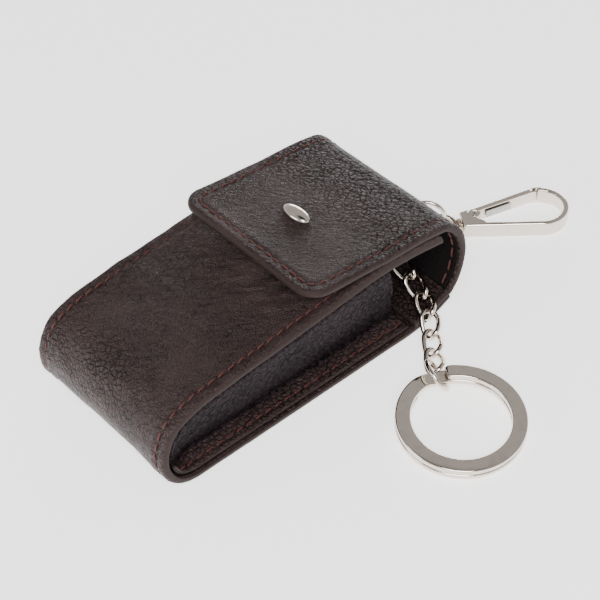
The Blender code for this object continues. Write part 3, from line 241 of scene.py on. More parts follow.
# Sewing
STITCH_PITCH = 0.0030
STITCH_LENGTH_SHARE = 0.80
STITCH_RADIUS = 0.00027
STITCH_RINGS = 9
STITCH_SIDES = 8
STITCH_FLATNESS_SHARE = 0.85
STITCH_ARCH_SHARE = 0.55
STITCH_SLANT_SHARES = (0.55, 0.25)
STITCH_WAVER_SHARE = 0.06
STITCH_TAPER_SHARE = 0.35
STITCH_INSET = 0.0030
STITCH_SINK = 0.00022
GROOVE_DEPTH = 0.00020
GROOVE_WIDTH = 0.00060
WELT_HEIGHT = 0.00012
WELT_PLACE = 0.0016
WELT_WIDTH = 0.0009
STITCH_MARGIN = 0.0015
SEAM_MARGIN = 0.0002
FOOT_STITCH_STOP = 0.014
ROUTE_STEP = 0.0005
CORNER_TURNS = np.radians(np.arange(0, 91, 15))
FLANGE_STITCH_COLUMN = -7
FLANGE_STITCH_ROWS = -6


# Plane geometry

def smoothstep(value):
    value = np.clip(value, 0, 1)
    return value * value * (3 - 2 * value)


def unit(vectors):
    return vectors / np.maximum(np.linalg.norm(vectors, axis=-1, keepdims=True), TINY)


def smooth_path(points, start_direction=None, end_direction=None):
    """The same smooth curve through the points that the frame's leather follows, in finer steps."""
    points = np.array(points, float)
    spans = np.linalg.norm(np.diff(points, axis=0), axis=1)
    slopes = np.diff(points, axis=0) / spans[:, None]
    before, after = spans[:-1, None], spans[1:, None]
    inner = (slopes[:-1] * after + slopes[1:] * before) / (before + after)
    tangents = np.vstack([slopes[:1], inner, slopes[-1:]])
    if start_direction is not None:
        tangents[0] = unit(np.array(start_direction, float))
    if end_direction is not None:
        tangents[-1] = unit(np.array(end_direction, float))
    path = [points[:1]]
    t = (np.arange(1, CURVE_STEPS + 1) / CURVE_STEPS)[:, None]
    rise = smoothstep(t)
    for index, span in enumerate(spans):
        path.append(
            points[index] * (1 - rise) + points[index + 1] * rise
            + tangents[index] * (span * t * (1 - t) ** 2) - tangents[index + 1] * (span * t * t * (1 - t))
        )
    return np.vstack(path)


def path_lengths(path):
    return np.concatenate([[0.0], np.cumsum(np.linalg.norm(np.diff(path, axis=0), axis=1))])


def points_at(path, distances):
    lengths = path_lengths(path)
    return np.stack([np.interp(distances, lengths, path[:, axis]) for axis in range(path.shape[1])], axis=-1)


def inward(path, distances):
    """Unit normals to the right-hand side of the path, which is the leather's inner side."""
    step = GRID_STEP / 2
    total = path_lengths(path)[-1]
    ahead = points_at(path, np.minimum(distances + step, total))
    behind = points_at(path, np.maximum(distances - step, 0.0))
    direction = unit(ahead - behind)
    return np.stack([direction[..., 1], -direction[..., 0]], axis=-1)


def distance_where(path, axis, value, start=0):
    values = path[start:, axis] - value
    change = np.nonzero(values[:-1] * values[1:] <= 0)[0]
    lengths = path_lengths(path)
    if len(change) == 0:
        return lengths[-1]
    index = change[0] + start
    share = (value - path[index, axis]) / (path[index + 1, axis] - path[index, axis])
    return lengths[index] + share * (lengths[index + 1] - lengths[index])


def offset_path(path, depth):
    return path + inward(path, path_lengths(path)) * depth


def wrap_place(shares):
    return (TOE_PLACE + shares[0] * POUCH_LENGTH, shares[1] * BODY_HEIGHT)


def wrap_path():
    back = smooth_path([wrap_place(s) for s in BACK_RISE_SHARES], end_direction=(-1, 0))
    front = smooth_path([wrap_place(s) for s in TOE_AND_FRONT_SHARES], start_direction=(-1, 0))
    return np.vstack([back, front])


WRAP = wrap_path()
WRAP_APEX = int(np.argmin(WRAP[:, 0]))


def strip_path():
    """Outer face of the strap, from the flap's tip over the spine to the end of its foot."""
    foot_line = offset_path(WRAP, WRAP_LEATHER + SEAT_GAP)
    end = distance_where(foot_line, 0, TOE_PLACE + FOOT_START_SHARE * POUCH_LENGTH)
    before = path_lengths(foot_line) < end - NEAR
    foot = np.vstack([foot_line[before][1:], points_at(foot_line, np.array([end]))])
    front = WRAP[WRAP_APEX:]
    shaped = []
    for place_share, lift_share in zip(FLAP_PLACE_SHARES, FLAP_LIFT_SHARES):
        place = TOE_PLACE + place_share * POUCH_LENGTH
        height = points_at(front, distance_where(front, 0, place))[1]
        shaped.append((place, height + STRIP_DEPTH + lift_share * SNAP_STACK))
    shaped.append(wrap_place(CREASE_SHARES))
    shaped += [wrap_place(s) for s in reversed(SPINE_SHARES)]
    return np.vstack([smooth_path(shaped + [foot[0]], end_direction=foot[1] - foot[0]), foot[1:]])


STRIP = strip_path()
STRIP_LENGTH = path_lengths(STRIP)[-1]
WRAP_LENGTH = path_lengths(WRAP)[-1]
APEX_DISTANCE = path_lengths(WRAP)[WRAP_APEX]
CREASE_DISTANCE = distance_where(STRIP, 0, wrap_place(CREASE_SHARES)[0])
MID_SPINE = distance_where(STRIP, 1, MID_SPINE_SHARE * BODY_HEIGHT, start=len(STRIP) // 2)


# Noise for folds and wear

def bell(value, reach):
    return np.exp(-(value / reach) ** 2)


def noise(x, y, seed):
    """Smooth random values from -1 to 1 on a unit lattice."""
    table = np.random.default_rng(seed).uniform(-1, 1, (NOISE_CELLS, NOISE_CELLS))
    left, low = np.floor(x).astype(int), np.floor(y).astype(int)
    u, v = smoothstep(x - left), smoothstep(y - low)
    corner = [[table[(left + i) % NOISE_CELLS, (low + j) % NOISE_CELLS] for j in (0, 1)] for i in (0, 1)]
    near = corner[0][0] * (1 - v) + corner[0][1] * v
    far = corner[1][0] * (1 - v) + corner[1][1] * v
    return near * (1 - u) + far * u


def folds(along, across, rows, seed=0):
    """Two octaves of noise for each row, with its cells stretched along the first direction."""
    total = 0.0
    for height, size, row_seed, stretch in rows:
        u, v = along / (size * stretch), across / size
        finer = noise(OCTAVE_SCALE * u, OCTAVE_SCALE * v, seed + row_seed + 1)
        total = total + height * (noise(u, v, seed + row_seed) + OCTAVE_SHARE * finer)
    return total


def pebbles(x, y, size, seed):
    """Rounded cells between creases: 0 in a crease and 1 on top of a pebble."""
    table = np.random.default_rng(seed).uniform(*PEBBLE_SPOTS, (NOISE_CELLS, NOISE_CELLS, 2))
    u, v = x / size, y / size
    left, low = np.floor(u).astype(int), np.floor(v).astype(int)
    nearest, second = np.full(u.shape, np.inf), np.full(u.shape, np.inf)
    for i in (-1, 0, 1):
        for j in (-1, 0, 1):
            spot = table[(left + i) % NOISE_CELLS, (low + j) % NOISE_CELLS]
            distance = np.hypot(left + i + spot[..., 0] - u, low + j + spot[..., 1] - v)
            second = np.minimum(second, np.maximum(nearest, distance))
            nearest = np.minimum(nearest, distance)
    return smoothstep((second - nearest) / PEBBLE_CREASE_SHARE)


# Objects

def placed(name, data):
    item = bpy.data.objects.new(name, data)
    bpy.context.scene.collection.objects.link(item)
    return item


def from_shape(name, shape):
    """A new object with the bmesh's faces."""
    mesh = bpy.data.meshes.new(name)
    shape.to_mesh(mesh)
    shape.free()
    return placed(name, mesh)


def from_lists(name, verts, edges, faces):
    mesh = bpy.data.meshes.new(name)
    mesh.from_pydata(verts, edges, faces)
    return placed(name, mesh)


def tubes(name, shapes):
    """A mesh of capped tubes: for each, an array of its rings' corners."""
    rings, sides = shapes[0].shape[:2]
    index = np.arange(rings * sides).reshape(rings, sides)
    following = np.roll(index, -1, axis=1)
    walls = np.stack([index[:-1], following[:-1], following[1:], index[1:]], axis=-1).reshape(-1, 4)
    faces = []
    for start in range(0, len(shapes) * rings * sides, rings * sides):
        faces += (walls + start).tolist() + [(index[0, ::-1] + start).tolist(), (index[-1] + start).tolist()]
    return from_lists(name, np.concatenate(shapes).reshape(-1, 3).tolist(), [], faces)


def evaluated_mesh(item):
    bpy.context.view_layer.update()
    return bpy.data.meshes.new_from_object(item.evaluated_get(bpy.context.evaluated_depsgraph_get()))


def welded(mesh, distance):
    """The mesh as a bmesh, with doubled corners joined and every face smooth."""
    shape = bmesh.new()
    shape.from_mesh(mesh)
    bmesh.ops.remove_doubles(shape, verts=shape.verts, dist=distance)
    for face in shape.faces:
        face.smooth = True
    return shape


def bake(item):
    """Turns a curve or a mesh with modifiers into a plain smooth mesh object of the same name."""
    mesh = evaluated_mesh(item)
    mesh.transform(item.matrix_world)
    name = item.name
    bpy.data.objects.remove(item, do_unlink=True)
    shape = welded(mesh, WELD_DISTANCE)
    bmesh.ops.recalc_face_normals(shape, faces=shape.faces)
    shape.to_mesh(mesh)
    shape.free()
    mesh.materials.clear()
    return placed(name, mesh)


def crisp(item, angle_deg=SHARP_ANGLE_DEG):
    """Smooth shading with the sharp edges kept."""
    shape = welded(item.data, 2 * WELD_DISTANCE)
    for edge in shape.edges:
        edge.smooth = len(edge.link_faces) != 2 or edge.calc_face_angle(0.0) < math.radians(angle_deg)
    shape.to_mesh(item.data)
    shape.free()
    return item


def cut_hole(item, matrix, radius, length, solver):
    """Takes a round hole along the matrix's Z axis out of a piece."""
    shape = bmesh.new()
    bmesh.ops.create_cone(shape, cap_ends=True, segments=HOLE_STEPS, radius1=radius, radius2=radius,
                          depth=length, matrix=matrix)
    tool = from_shape("hole", shape)
    cut = item.modifiers.new("hole", "BOOLEAN")
    cut.operation = "DIFFERENCE"
    cut.object = tool
    cut.solver = solver
    mesh = evaluated_mesh(item)
    item.modifiers.clear()
    item.data = mesh
    bpy.data.objects.remove(tool, do_unlink=True)


def finish(item, material, nodes, place):
    """Gives the whole piece one material, hides the parts it replaces, and joins it to one body when one is
    named, or else applies its transform.
    """
    item.data.materials.clear()
    item.data.materials.append(material)
    item.data.polygons.foreach_set("material_index", np.zeros(len(item.data.polygons), np.int32))
    if nodes:
        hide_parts(*nodes)
    if isinstance(place, str):
        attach(item, place)
    else:
        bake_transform(item)


# Sheets of leather

def clustered(length, edge=EDGE_ROUNDING, step=GRID_STEP):
    """Places from 0 to the length, closer together at both ends."""
    lead = np.array(EDGE_LINES) * edge
    middle = np.linspace(edge, length - edge, max(2, int(round((length - 2 * edge) / step)) + 1))
    return np.concatenate([lead[:-1], middle, length - lead[::-1][1:]])


def layered(name, middle, normal, half, border, relief, places, grain, tone_and_shade, inner_relief=0.0):
    """A closed sheet: two faces at half the thickness from the middle one, joined round the border."""
    rows, columns = half.shape
    fade = smoothstep(border / (2 * EDGE_ROUNDING))
    top = middle + normal * (half + relief * fade)[..., None]
    bottom = middle - normal * (half + inner_relief * fade)[..., None]
    verts = np.concatenate([top.reshape(-1, 3), bottom.reshape(-1, 3)])
    index = np.arange(rows * columns).reshape(rows, columns)
    a, b, c, d = index[:-1, :-1], index[1:, :-1], index[1:, 1:], index[:-1, 1:]
    upper = np.stack([a, b, c, d], axis=-1).reshape(-1, 4)
    lower = upper[:, ::-1] + rows * columns
    ring = np.concatenate([index[0, :-1], index[:-1, -1], index[-1, :0:-1], index[:0:-1, 0]])
    following = np.roll(ring, -1)
    sides = np.stack([ring, following, following + rows * columns, ring + rows * columns], axis=-1)
    faces = np.concatenate([upper, lower, sides])
    item = from_lists(name, verts.tolist(), [], faces.tolist())
    mesh = item.data
    edge = 1 - smoothstep(border / PAINTED_EDGE)
    # The tone attribute also carries painted shade: darker creases, pull marks and flap tip
    for attribute, values in (("edge", edge), ("grain", grain), ("tone_and_shade", tone_and_shade)):
        spread = np.tile((values * np.ones(half.shape)).reshape(-1), 2)
        mesh.attributes.new(attribute, "FLOAT", "POINT").data.foreach_set("value", spread.astype(np.float32))
    flat = np.concatenate([places.reshape(-1, 2)] * 2) * TEXTURE_SCALE
    flat[rows * columns:, 1] += TEXTURE_SHIFT
    corners = np.empty(len(mesh.loops), np.int32)
    mesh.loops.foreach_get("vertex_index", corners)
    layer = mesh.uv_layers.new(name="sheet")
    layer.data.foreach_set("uv", flat[corners].astype(np.float32).reshape(-1))
    mesh.shade_smooth()
    shape = bmesh.new()
    shape.from_mesh(mesh)
    bmesh.ops.recalc_face_normals(shape, faces=shape.faces)
    shape.to_mesh(mesh)
    shape.free()
    mesh.update()
    return item


class Sheet:
    """A strip of leather across the pouch, between two distances on a side-view path.

    Its free edges are rounded. With a rim, they are turned in and reach down to the rim's depth.
    Ends that are named as seams are cut square, because another sheet goes on from there.
    """

    def __init__(self, path, start, end, top, bottom, corner=0.0, inset=0.0, rim=None, seams=()):
        self.path = path
        self.start = start
        self.end = end
        self.top = top
        self.bottom = bottom
        self.corner = corner
        self.half_width = HALF_WIDTH - inset
        self.rim = bottom if rim is None else rim
        self.seams = seams

    def width_at(self, s):
        if self.corner == 0.0:
            return np.full_like(s, self.half_width)
        short = np.clip(self.corner - s, 0, self.corner)
        return self.half_width - self.corner + np.sqrt(self.corner ** 2 - short ** 2)

    def border(self, s, x):
        """Distance to the nearest free edge."""
        nearest = self.half_width - np.abs(x)
        if "start" not in self.seams:
            nearest = np.minimum(nearest, s)
        if "end" not in self.seams:
            nearest = np.minimum(nearest, self.end - self.start - s)
        if self.corner == 0.0:
            return nearest
        over = np.abs(x) - (self.half_width - self.corner)
        round_part = self.corner - np.hypot(self.corner - s, over)
        return np.where((s < self.corner) & (over > 0), round_part, nearest)

    def place(self, s, x, depth):
        """Points at a depth under the outer face, with the face's outward normals."""
        point = points_at(self.path, self.start + s)
        normal = -inward(self.path, self.start + s)
        point = point - normal * np.asarray(depth)[..., None]
        normals = np.stack([np.zeros_like(s), normal[..., 0], normal[..., 1]], axis=-1)
        return np.stack([x, point[..., 0], point[..., 1]], axis=-1), normals

    def build(self, name, looks, outer_rounding_share=0.0):
        turned_in = self.rim > self.bottom
        reach = RIM_ROUNDING if turned_in else min(EDGE_ROUNDING, (self.bottom - self.top) * THIN_EDGE_SHARE)
        s_line = clustered(self.end - self.start, reach)
        u_line = clustered(2 * self.half_width, reach) / self.half_width - 1
        s, u = np.meshgrid(s_line, u_line, indexing="ij")
        x = u * self.width_at(s)
        distance = np.maximum(self.border(s, x), 0)
        in_rim = 1 - smoothstep((distance - RIM_WIDTH) / RIM_BLEND)
        thickness = self.bottom - self.top + (self.rim - self.bottom) * in_rim
        inside = np.clip(1 - distance / reach, 0, 1)
        flat = thickness * RIM_FLAT_SHARE if turned_in else thickness / 2 - reach
        half = flat + (thickness / 2 - flat) * np.sqrt(1 - inside ** 2)
        depth = self.top + thickness / 2 + outer_rounding_share * (thickness / 2 - half)
        middle, normal = self.place(s, x, depth)
        along = self.start + s
        relief, grain, tone_and_shade, inner_relief = [look(along, x) for look in looks]
        places = np.stack([along, x], axis=-1)
        item = layered(name, middle, normal, half, distance, relief, places, grain, tone_and_shade, inner_relief)
        return crisp(item, SEAM_ANGLE_DEG) if self.seams else item


def groove(distance):
    """A sewn line: sunk where the thread runs, swollen on both sides of it."""
    welts = WELT_HEIGHT * bell(np.abs(distance) - WELT_PLACE, WELT_WIDTH)
    return welts - GROOVE_DEPTH * bell(distance, GROOVE_WIDTH)


# Stitching

def stitches(name, route, normals, place):
    """Thread stitches along a route on the leather: each one dives into its two holes."""
    lengths = path_lengths(route)
    count = max(1, int(lengths[-1] / STITCH_PITCH))
    pitch = lengths[-1] / count
    rng = np.random.default_rng(len(name) + count)
    threads = []
    t = np.linspace(-1, 1, STITCH_RINGS)
    angles = np.linspace(0, 2 * math.pi, STITCH_SIDES, endpoint=False)[None, :, None]
    for number in range(count):
        places = (number + 0.5 + t * STITCH_LENGTH_SHARE / 2) * pitch
        point = points_at(route, places)
        normal = unit(np.stack([np.interp(places, lengths, normals[:, k]) for k in range(3)], axis=-1))
        side = np.cross(normal, unit(point[-1] - point[0]))
        slant = STITCH_RADIUS * (STITCH_SLANT_SHARES[0] + STITCH_SLANT_SHARES[1] * rng.uniform(-1, 1))
        lift = STITCH_RADIUS * STITCH_ARCH_SHARE * (1 - t ** 4) - STITCH_SINK * np.abs(t) ** 5
        point = point + normal * lift[:, None] + side * (t * slant)[:, None]
        waver = 1 + STITCH_WAVER_SHARE * rng.uniform(-1, 1)
        thick = STITCH_RADIUS * waver * (1 - STITCH_TAPER_SHARE * np.abs(t) ** 6)
        arms = side[:, None] * np.cos(angles) + normal[:, None] * np.sin(angles) * STITCH_FLATNESS_SHARE
        threads.append(point[:, None] + arms * thick[:, None, None])
    item = tubes(name, threads)
    item.data.shade_smooth()
    finish(item, THREAD, [], place)


# Materials

class Nodes:
    """Short calls that add nodes to one tree and give back an output. Inputs are values or outputs."""

    def __init__(self, tree):
        self.tree = tree

    def add(self, kind, inputs, output=0, **settings):
        node = self.tree.nodes.new("ShaderNode" + kind)
        for key, value in settings.items():
            setattr(node, key, value)
        for key, value in inputs.items():
            if isinstance(value, bpy.types.NodeSocket):
                self.tree.links.new(value, node.inputs[key])
            else:
                node.inputs[key].default_value = value
        return node.outputs[output]

    def times(self, first, second):
        return self.add("Math", {0: first, 1: second}, operation="MULTIPLY")

    def plus(self, first, second):
        return self.add("Math", {0: first, 1: second}, operation="ADD")

    def minus(self, first, second):
        return self.add("Math", {0: first, 1: second}, operation="SUBTRACT")

    def ranged(self, value, low, high, to_low=0.0, to_high=1.0):
        inputs = {0: value, 1: low, 2: high, 3: to_low, 4: to_high}
        return self.add("MapRange", inputs, interpolation_type="SMOOTHSTEP")

    def mixed(self, share, first, second):
        colours = [(*value, 1.0) if isinstance(value, tuple) else value for value in (first, second)]
        return self.add("Mix", {0: share, 6: colours[0], 7: colours[1]}, 2, data_type="RGBA")

    def noise(self, place, scale, detail, roughness=0.5, output="Fac"):
        inputs = {"Vector": place, "Scale": scale, "Detail": detail, "Roughness": roughness}
        return self.add("TexNoise", inputs, output)

    def cells(self, place, scale, randomness):
        inputs = {"Vector": place, "Scale": scale, "Randomness": randomness}
        return self.add("TexVoronoi", inputs, feature="DISTANCE_TO_EDGE")

    def attribute(self, name):
        return self.add("Attribute", {}, "Fac", attribute_name=name)

    def bump(self, strength, distance, height):
        return self.add("Bump", {"Strength": strength, "Distance": distance, "Height": height})


def material_of(name, make_surface):
    """A material whose shader takes the inputs that the function makes in its tree."""
    material = bpy.data.materials.new(name)
    material.use_nodes = True
    tree = material.node_tree
    for key, value in make_surface(Nodes(tree)).items():
        socket = tree.nodes["Principled BSDF"].inputs[key]
        if isinstance(value, bpy.types.NodeSocket):
            tree.links.new(value, socket)
        else:
            socket.default_value = value
    return material


def leather(name, base, crease, edge, grain, depth, rough, pebble=7.0, gloss=0.14, wrinkles=1.6):
    """Leather with large pebbles where its grain is coarse and small ones elsewhere, and painted edges."""

    def surface(make):
        place = make.add("UVMap", {}, uv_map="sheet")
        warp = make.noise(place, scale=3.2, detail=2.0, output="Color")
        moved = make.add("MixRGB", {"Fac": WARP_SHARE, "Color1": place, "Color2": warp}, blend_type="ADD")
        large = make.ranged(make.cells(moved, pebble, randomness=0.95), 0.0, 0.20)
        small = make.ranged(make.cells(moved, pebble * SMALL_PEBBLE_SCALE, randomness=1.0), 0.0, 0.22)
        pores = make.noise(place, scale=34.0, detail=3.0, roughness=0.6)
        zones = make.noise(place, scale=0.55, detail=2.0)
        turn = {"Vector": place, "Rotation": (0, 0, WRINKLE_TURN), "Scale": (WRINKLE_STRETCH, 1.0, 1.0)}
        turned_place = make.add("Mapping", turn, vector_type="TEXTURE")
        waves = make.noise(turned_place, scale=9.0, detail=2.0, roughness=0.55)
        coarse, tone_and_shade, at_edge = [make.attribute(word) for word in ("grain", "tone_and_shade", "edge")]
        large_share = make.ranged(coarse, 0.45, 1.15, 0.15, 0.80)
        mostly = make.times(large, large_share)
        partly = make.times(small, make.minus(CELLS_SHARE, large_share))
        finest = make.plus(make.times(pores, PORES_SHARE), make.times(waves, wrinkles))
        height = make.plus(make.plus(mostly, partly), finest)
        calm = make.minus(1.0, make.times(at_edge, EDGE_CALM_SHARE))
        strength = make.times(make.times(calm, coarse), grain)
        # Darker between the pebbles and where the sheet's tone is low: partly the leather's own darker
        # creases, partly painted shade
        grained = make.mixed(make.times(make.ranged(height, 0.80, 1.50), tone_and_shade), crease, base)
        lighter = tuple(c * LIGHTER_SCALE for c in base)
        toned = make.mixed(make.ranged(zones, 0.35, 0.75, 0.0, 0.5), grained, lighter)
        polish = make.ranged(pores, 0.25, 0.8, rough - POLISH_BELOW, rough + POLISH_ABOVE)
        return {
            "Normal": make.bump(strength, depth, height),
            "Base Color": make.mixed(at_edge, toned, edge),
            "Roughness": make.plus(polish, make.times(at_edge, EDGE_ROUGHER)),
            "Specular IOR Level": gloss,
        }

    return material_of(name, surface)


def metal(name, colour, rough):
    """Polished plate with faint wear: uneven gloss and hair scratches."""

    def surface(make):
        place = make.add("TexCoord", {}, "Object")
        wear = make.noise(place, scale=420.0, detail=4.0)
        stretched = make.add("Mapping", {"Vector": place, "Scale": (300.0, 300.0, 4000.0)})
        hair = make.noise(stretched, scale=3.0, detail=3.0)
        # In the metal this darker colour is wear alone
        wear_and_shade = tuple(c * 0.90 for c in colour)
        return {
            "Normal": make.bump(0.02, 0.00005, hair),
            "Base Color": make.mixed(make.ranged(wear, 0.4, 0.8), colour, wear_and_shade),
            "Roughness": make.ranged(wear, 0.3, 0.75, rough * 0.75, rough * 1.5),
            "Metallic": 1.0,
        }

    return material_of(name, surface)


def twisted_thread(make):
    """Slanting strands across each stitch."""
    place = make.add("TexCoord", {}, "Object")
    wave = {"Vector": place, "Scale": 900.0, "Distortion": 1.5}
    strands = make.add("TexWave", wave, "Fac", wave_type="BANDS", bands_direction="DIAGONAL")
    fibre = make.noise(place, scale=2500.0, detail=2.0)
    return {
        "Normal": make.bump(0.5, 0.00008, make.plus(strands, fibre)),
        "Base Color": make.mixed(make.ranged(strands, 0.2, 0.8), *THREAD_COLOURS),
        "Roughness": 0.62,
    }


def lit_paper(make):
    """White paper lit from below as well, like a light table."""
    mottle = make.noise(make.add("TexCoord", {}, "Object"), scale=8.0, detail=3.0)
    colour = make.mixed(mottle, (0.93, 0.93, 0.93), (0.91, 0.91, 0.91))
    return {
        "Base Color": colour, "Emission Color": colour, "Emission Strength": FLOOR_GLOW, "Roughness": 0.75,
    }


GRAIN = leather("grained_leather", (0.0500, 0.0325, 0.0315), (0.0130, 0.0080, 0.0076),
                (0.0270, 0.0165, 0.0148), grain=0.95, depth=0.00048, rough=0.32)
# Painted shade: the side walls are the same leather as the front, given a darker, cooler colour for the shade
# they stand in
SHADED_WALL = leather("wall_leather", (0.0215, 0.0152, 0.0178), (0.0050, 0.0036, 0.0044),
               (0.0160, 0.0105, 0.0100), grain=0.95, depth=0.00050, rough=0.50, pebble=5.4, gloss=0.05,
               wrinkles=1.5)
# The lining is darker than the outer leather: partly its own colour, partly painted shade where it shows in
# the gaps under the edges and inside the mouth
LINING = leather("lining_leather", (0.0095, 0.0070, 0.0073), (0.0035, 0.0027, 0.0028),
                 (0.0080, 0.0056, 0.0054), grain=0.85, depth=0.00030, rough=0.62, pebble=9.0, gloss=0.10,
                 wrinkles=1.5)
NICKEL = metal("nickel_plate", (0.74, 0.665, 0.59), rough=0.12)
STEEL = metal("plain_steel", (0.50, 0.48, 0.46), rough=0.30)
THREAD = material_of("thread", twisted_thread)


# Leather pieces

# Where the leather bends: its two bodies, and the points where one ends and the other starts
SPINE_BLEND = ("pouch", "spine", (0, 0.0448, 0.0039), (0, 0.0503, 0.0085))
FLAP_BLEND = ("spine", "flap", (0, 0.0518, 0.0255), (0, 0.0465, 0.0290))
WRAP_SHEET = Sheet(WRAP, 0.0, WRAP_LENGTH, 0.0, WRAP_LEATHER, rim=WRAP_DEPTH - SEAT_GAP)
FLAP_SHEET = Sheet(STRIP, 0.0, MID_SPINE, 0.0, STRIP_LEATHER, FLAP_CORNER_RADIUS, rim=STRIP_DEPTH,
                   seams=["end"])
SPINE_SHEET = Sheet(STRIP, MID_SPINE, STRIP_LENGTH, 0.0, STRIP_LEATHER, rim=STRIP_DEPTH, seams=["start"])


def pebbled(s, x, grain, seed):
    return PEBBLE_HEIGHT * grain(s, x) * (pebbles(s, x, PEBBLE_SIZE, seed) - PEBBLE_LEVEL_SHARE)


def pulled_share(s, x):
    """How much the front is pulled by the flap's snap: most under the flap's tip."""
    y = points_at(WRAP, s)[..., 0]
    return bell(y - PULL_PLACE, PULL_REACH) * bell(x, PULL_SPREAD) * (s > APEX_DISTANCE)


def pull_marks(s, x):
    y = points_at(WRAP, s)[..., 0]
    less, more = PULL_SLANT_SHARES
    return folds(less * x + more * y, more * x - less * y, PULL_FOLDS)


def wrap_relief(s, x):
    """Soft swells over the panels, tighter folds round the toe, pull marks, and an underside pressed flat."""
    relief = folds(s, x, PANEL_FOLDS) + bell(s - APEX_DISTANCE, TOE_FOLDS_REACH) * folds(x, s, TOE_FOLDS)
    relief = relief + PULL_HEIGHT * pulled_share(s, x) * pull_marks(s, x)
    relief = relief + pebbled(s, x, wrap_grain, WRAP_SEED) + groove(HALF_WIDTH - np.abs(x) - STITCH_INSET)
    pressed = np.minimum(relief - PRESSED_DEPTH, 0)
    return relief + (pressed - relief) * smoothstep((APEX_DISTANCE - PRESSED_FROM_TOE - s) / PRESSED_FROM_TOE)


def wrap_grain(s, x):
    """Coarse pebbles at the toe and on the back, fine ones where the front is pulled flat."""
    toe = bell(s - APEX_DISTANCE, TOE_GRAIN_REACH)
    coarse = np.maximum(toe, smoothstep((APEX_DISTANCE - s) / BACK_GRAIN_FADE))
    return PANEL_GRAIN_SHARE + TOE_GRAIN_SHARE * coarse + folds(s, x, WRAP_GRAIN_FOLDS)


def wrap_tone_and_shade(s, x):
    """Painted shade: darker troughs in the pull marks, and darker creases between the pebbles, partly the
    leather's own colour and partly shade.
    """
    creases = wrap_grain(s, x) * (1 - pebbles(s, x, PEBBLE_SIZE, WRAP_SEED))
    return 1 - WRAP_SHADE * creases - PULL_SHADE * pulled_share(s, x) * smoothstep(-pull_marks(s, x))


def strip_relief(s, x):
    """Soft swells, tighter folds at the flap's crease, and the sewn line round the flap's edge."""
    creased = bell(s - CREASE_DISTANCE, CREASE_FOLDS_REACH) * folds(x, s, CREASE_FOLDS)
    relief = folds(s, x, STRIP_FOLDS) + creased + pebbled(s, x, strip_grain, STRIP_SEED)
    return relief + groove(FLAP_SHEET.border(s, x) - STITCH_INSET)


def strip_grain(s, x):
    """Pebbles grow from the flap's tip to its crease and stay coarse over the spine."""
    growing = CREASE_GRAIN_SHARE * smoothstep(s / CREASE_DISTANCE)
    return TIP_GRAIN_SHARE + growing + folds(s, x, STRIP_GRAIN_FOLDS)


def strip_tone_and_shade(s, x):
    # Painted shade: darker towards the flap's tip and full towards its crease, for how the light falls;
    # darker creases between the pebbles, partly the leather's own colour and partly shade
    wear_and_shade = TIP_SHADE + (1 - TIP_SHADE) * smoothstep(s / CREASE_DISTANCE)
    return wear_and_shade - STRIP_SHADE * strip_grain(s, x) * (1 - pebbles(s, x, PEBBLE_SIZE, STRIP_SEED))


def lining_relief(s, x):
    return folds(s, x, LINING_FOLDS)


def even(value):
    """A look that is the same all over a sheet."""
    return lambda s, x: np.full_like(s, value)


# Each leather's relief, grain, tone and painted shade, and inner relief
WRAP_LOOKS = (wrap_relief, wrap_grain, wrap_tone_and_shade, even(0.0))
STRIP_LOOKS = (strip_relief, strip_grain, strip_tone_and_shade, even(0.0))
LINING_LOOKS = (lining_relief, even(LINING_GRAIN_SHARE), even(1.0), lining_relief)


def make_leather():
    finish(WRAP_SHEET.build("pouch_leather", WRAP_LOOKS, OUTER_ROUNDING_SHARE), GRAIN, ["body_wrap"], "pouch")
    stop = distance_where(WRAP, 0, TOE_PLACE + LINING_STOP_SHARE * POUCH_LENGTH)
    lining = Sheet(WRAP, stop, WRAP_LENGTH - LINING_INSET, WRAP_LEATHER + SEAT_GAP / 2, WRAP_DEPTH,
                   inset=LINING_INSET)
    finish(lining.build("pouch_lining", LINING_LOOKS), LINING, ["body_lining"], "pouch")

    seam = STRIP_LEATHER + SEAT_GAP / 2
    finish(FLAP_SHEET.build("flap_cover", STRIP_LOOKS), GRAIN, ["flap_leather"], FLAP_BLEND)
    lining = Sheet(STRIP, LINING_INSET, MID_SPINE, seam, STRIP_DEPTH, FLAP_CORNER_RADIUS - LINING_INSET,
                   LINING_INSET, seams=["end"])
    finish(lining.build("flap_inside", LINING_LOOKS), LINING, ["flap_lining"], FLAP_BLEND)
    lining = Sheet(STRIP, MID_SPINE, STRIP_LENGTH - SPINE_LINING_STOP, seam, STRIP_DEPTH, inset=LINING_INSET,
                   seams=["start"])
    spine_cover = SPINE_SHEET.build("spine_cover", STRIP_LOOKS)
    spine_inside = lining.build("spine_inside", LINING_LOOKS)
    low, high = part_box("spine_eyelet")
    turn = Vector(JOINTS["chain_link_03"]["axis"]).to_track_quat("Z", "Y").to_matrix().to_4x4()
    radius = EYELET_BORE + EYELET_WALL + SEAT_GAP / 2
    for item in (spine_cover, spine_inside):
        cut_hole(item, Matrix.Translation((low + high) / 2) @ turn, radius, 4 * radius, "EXACT")
    finish(spine_cover, GRAIN, ["spine_leather", "strap_foot"], SPINE_BLEND)
    finish(spine_inside, LINING, ["spine_lining"], SPINE_BLEND)


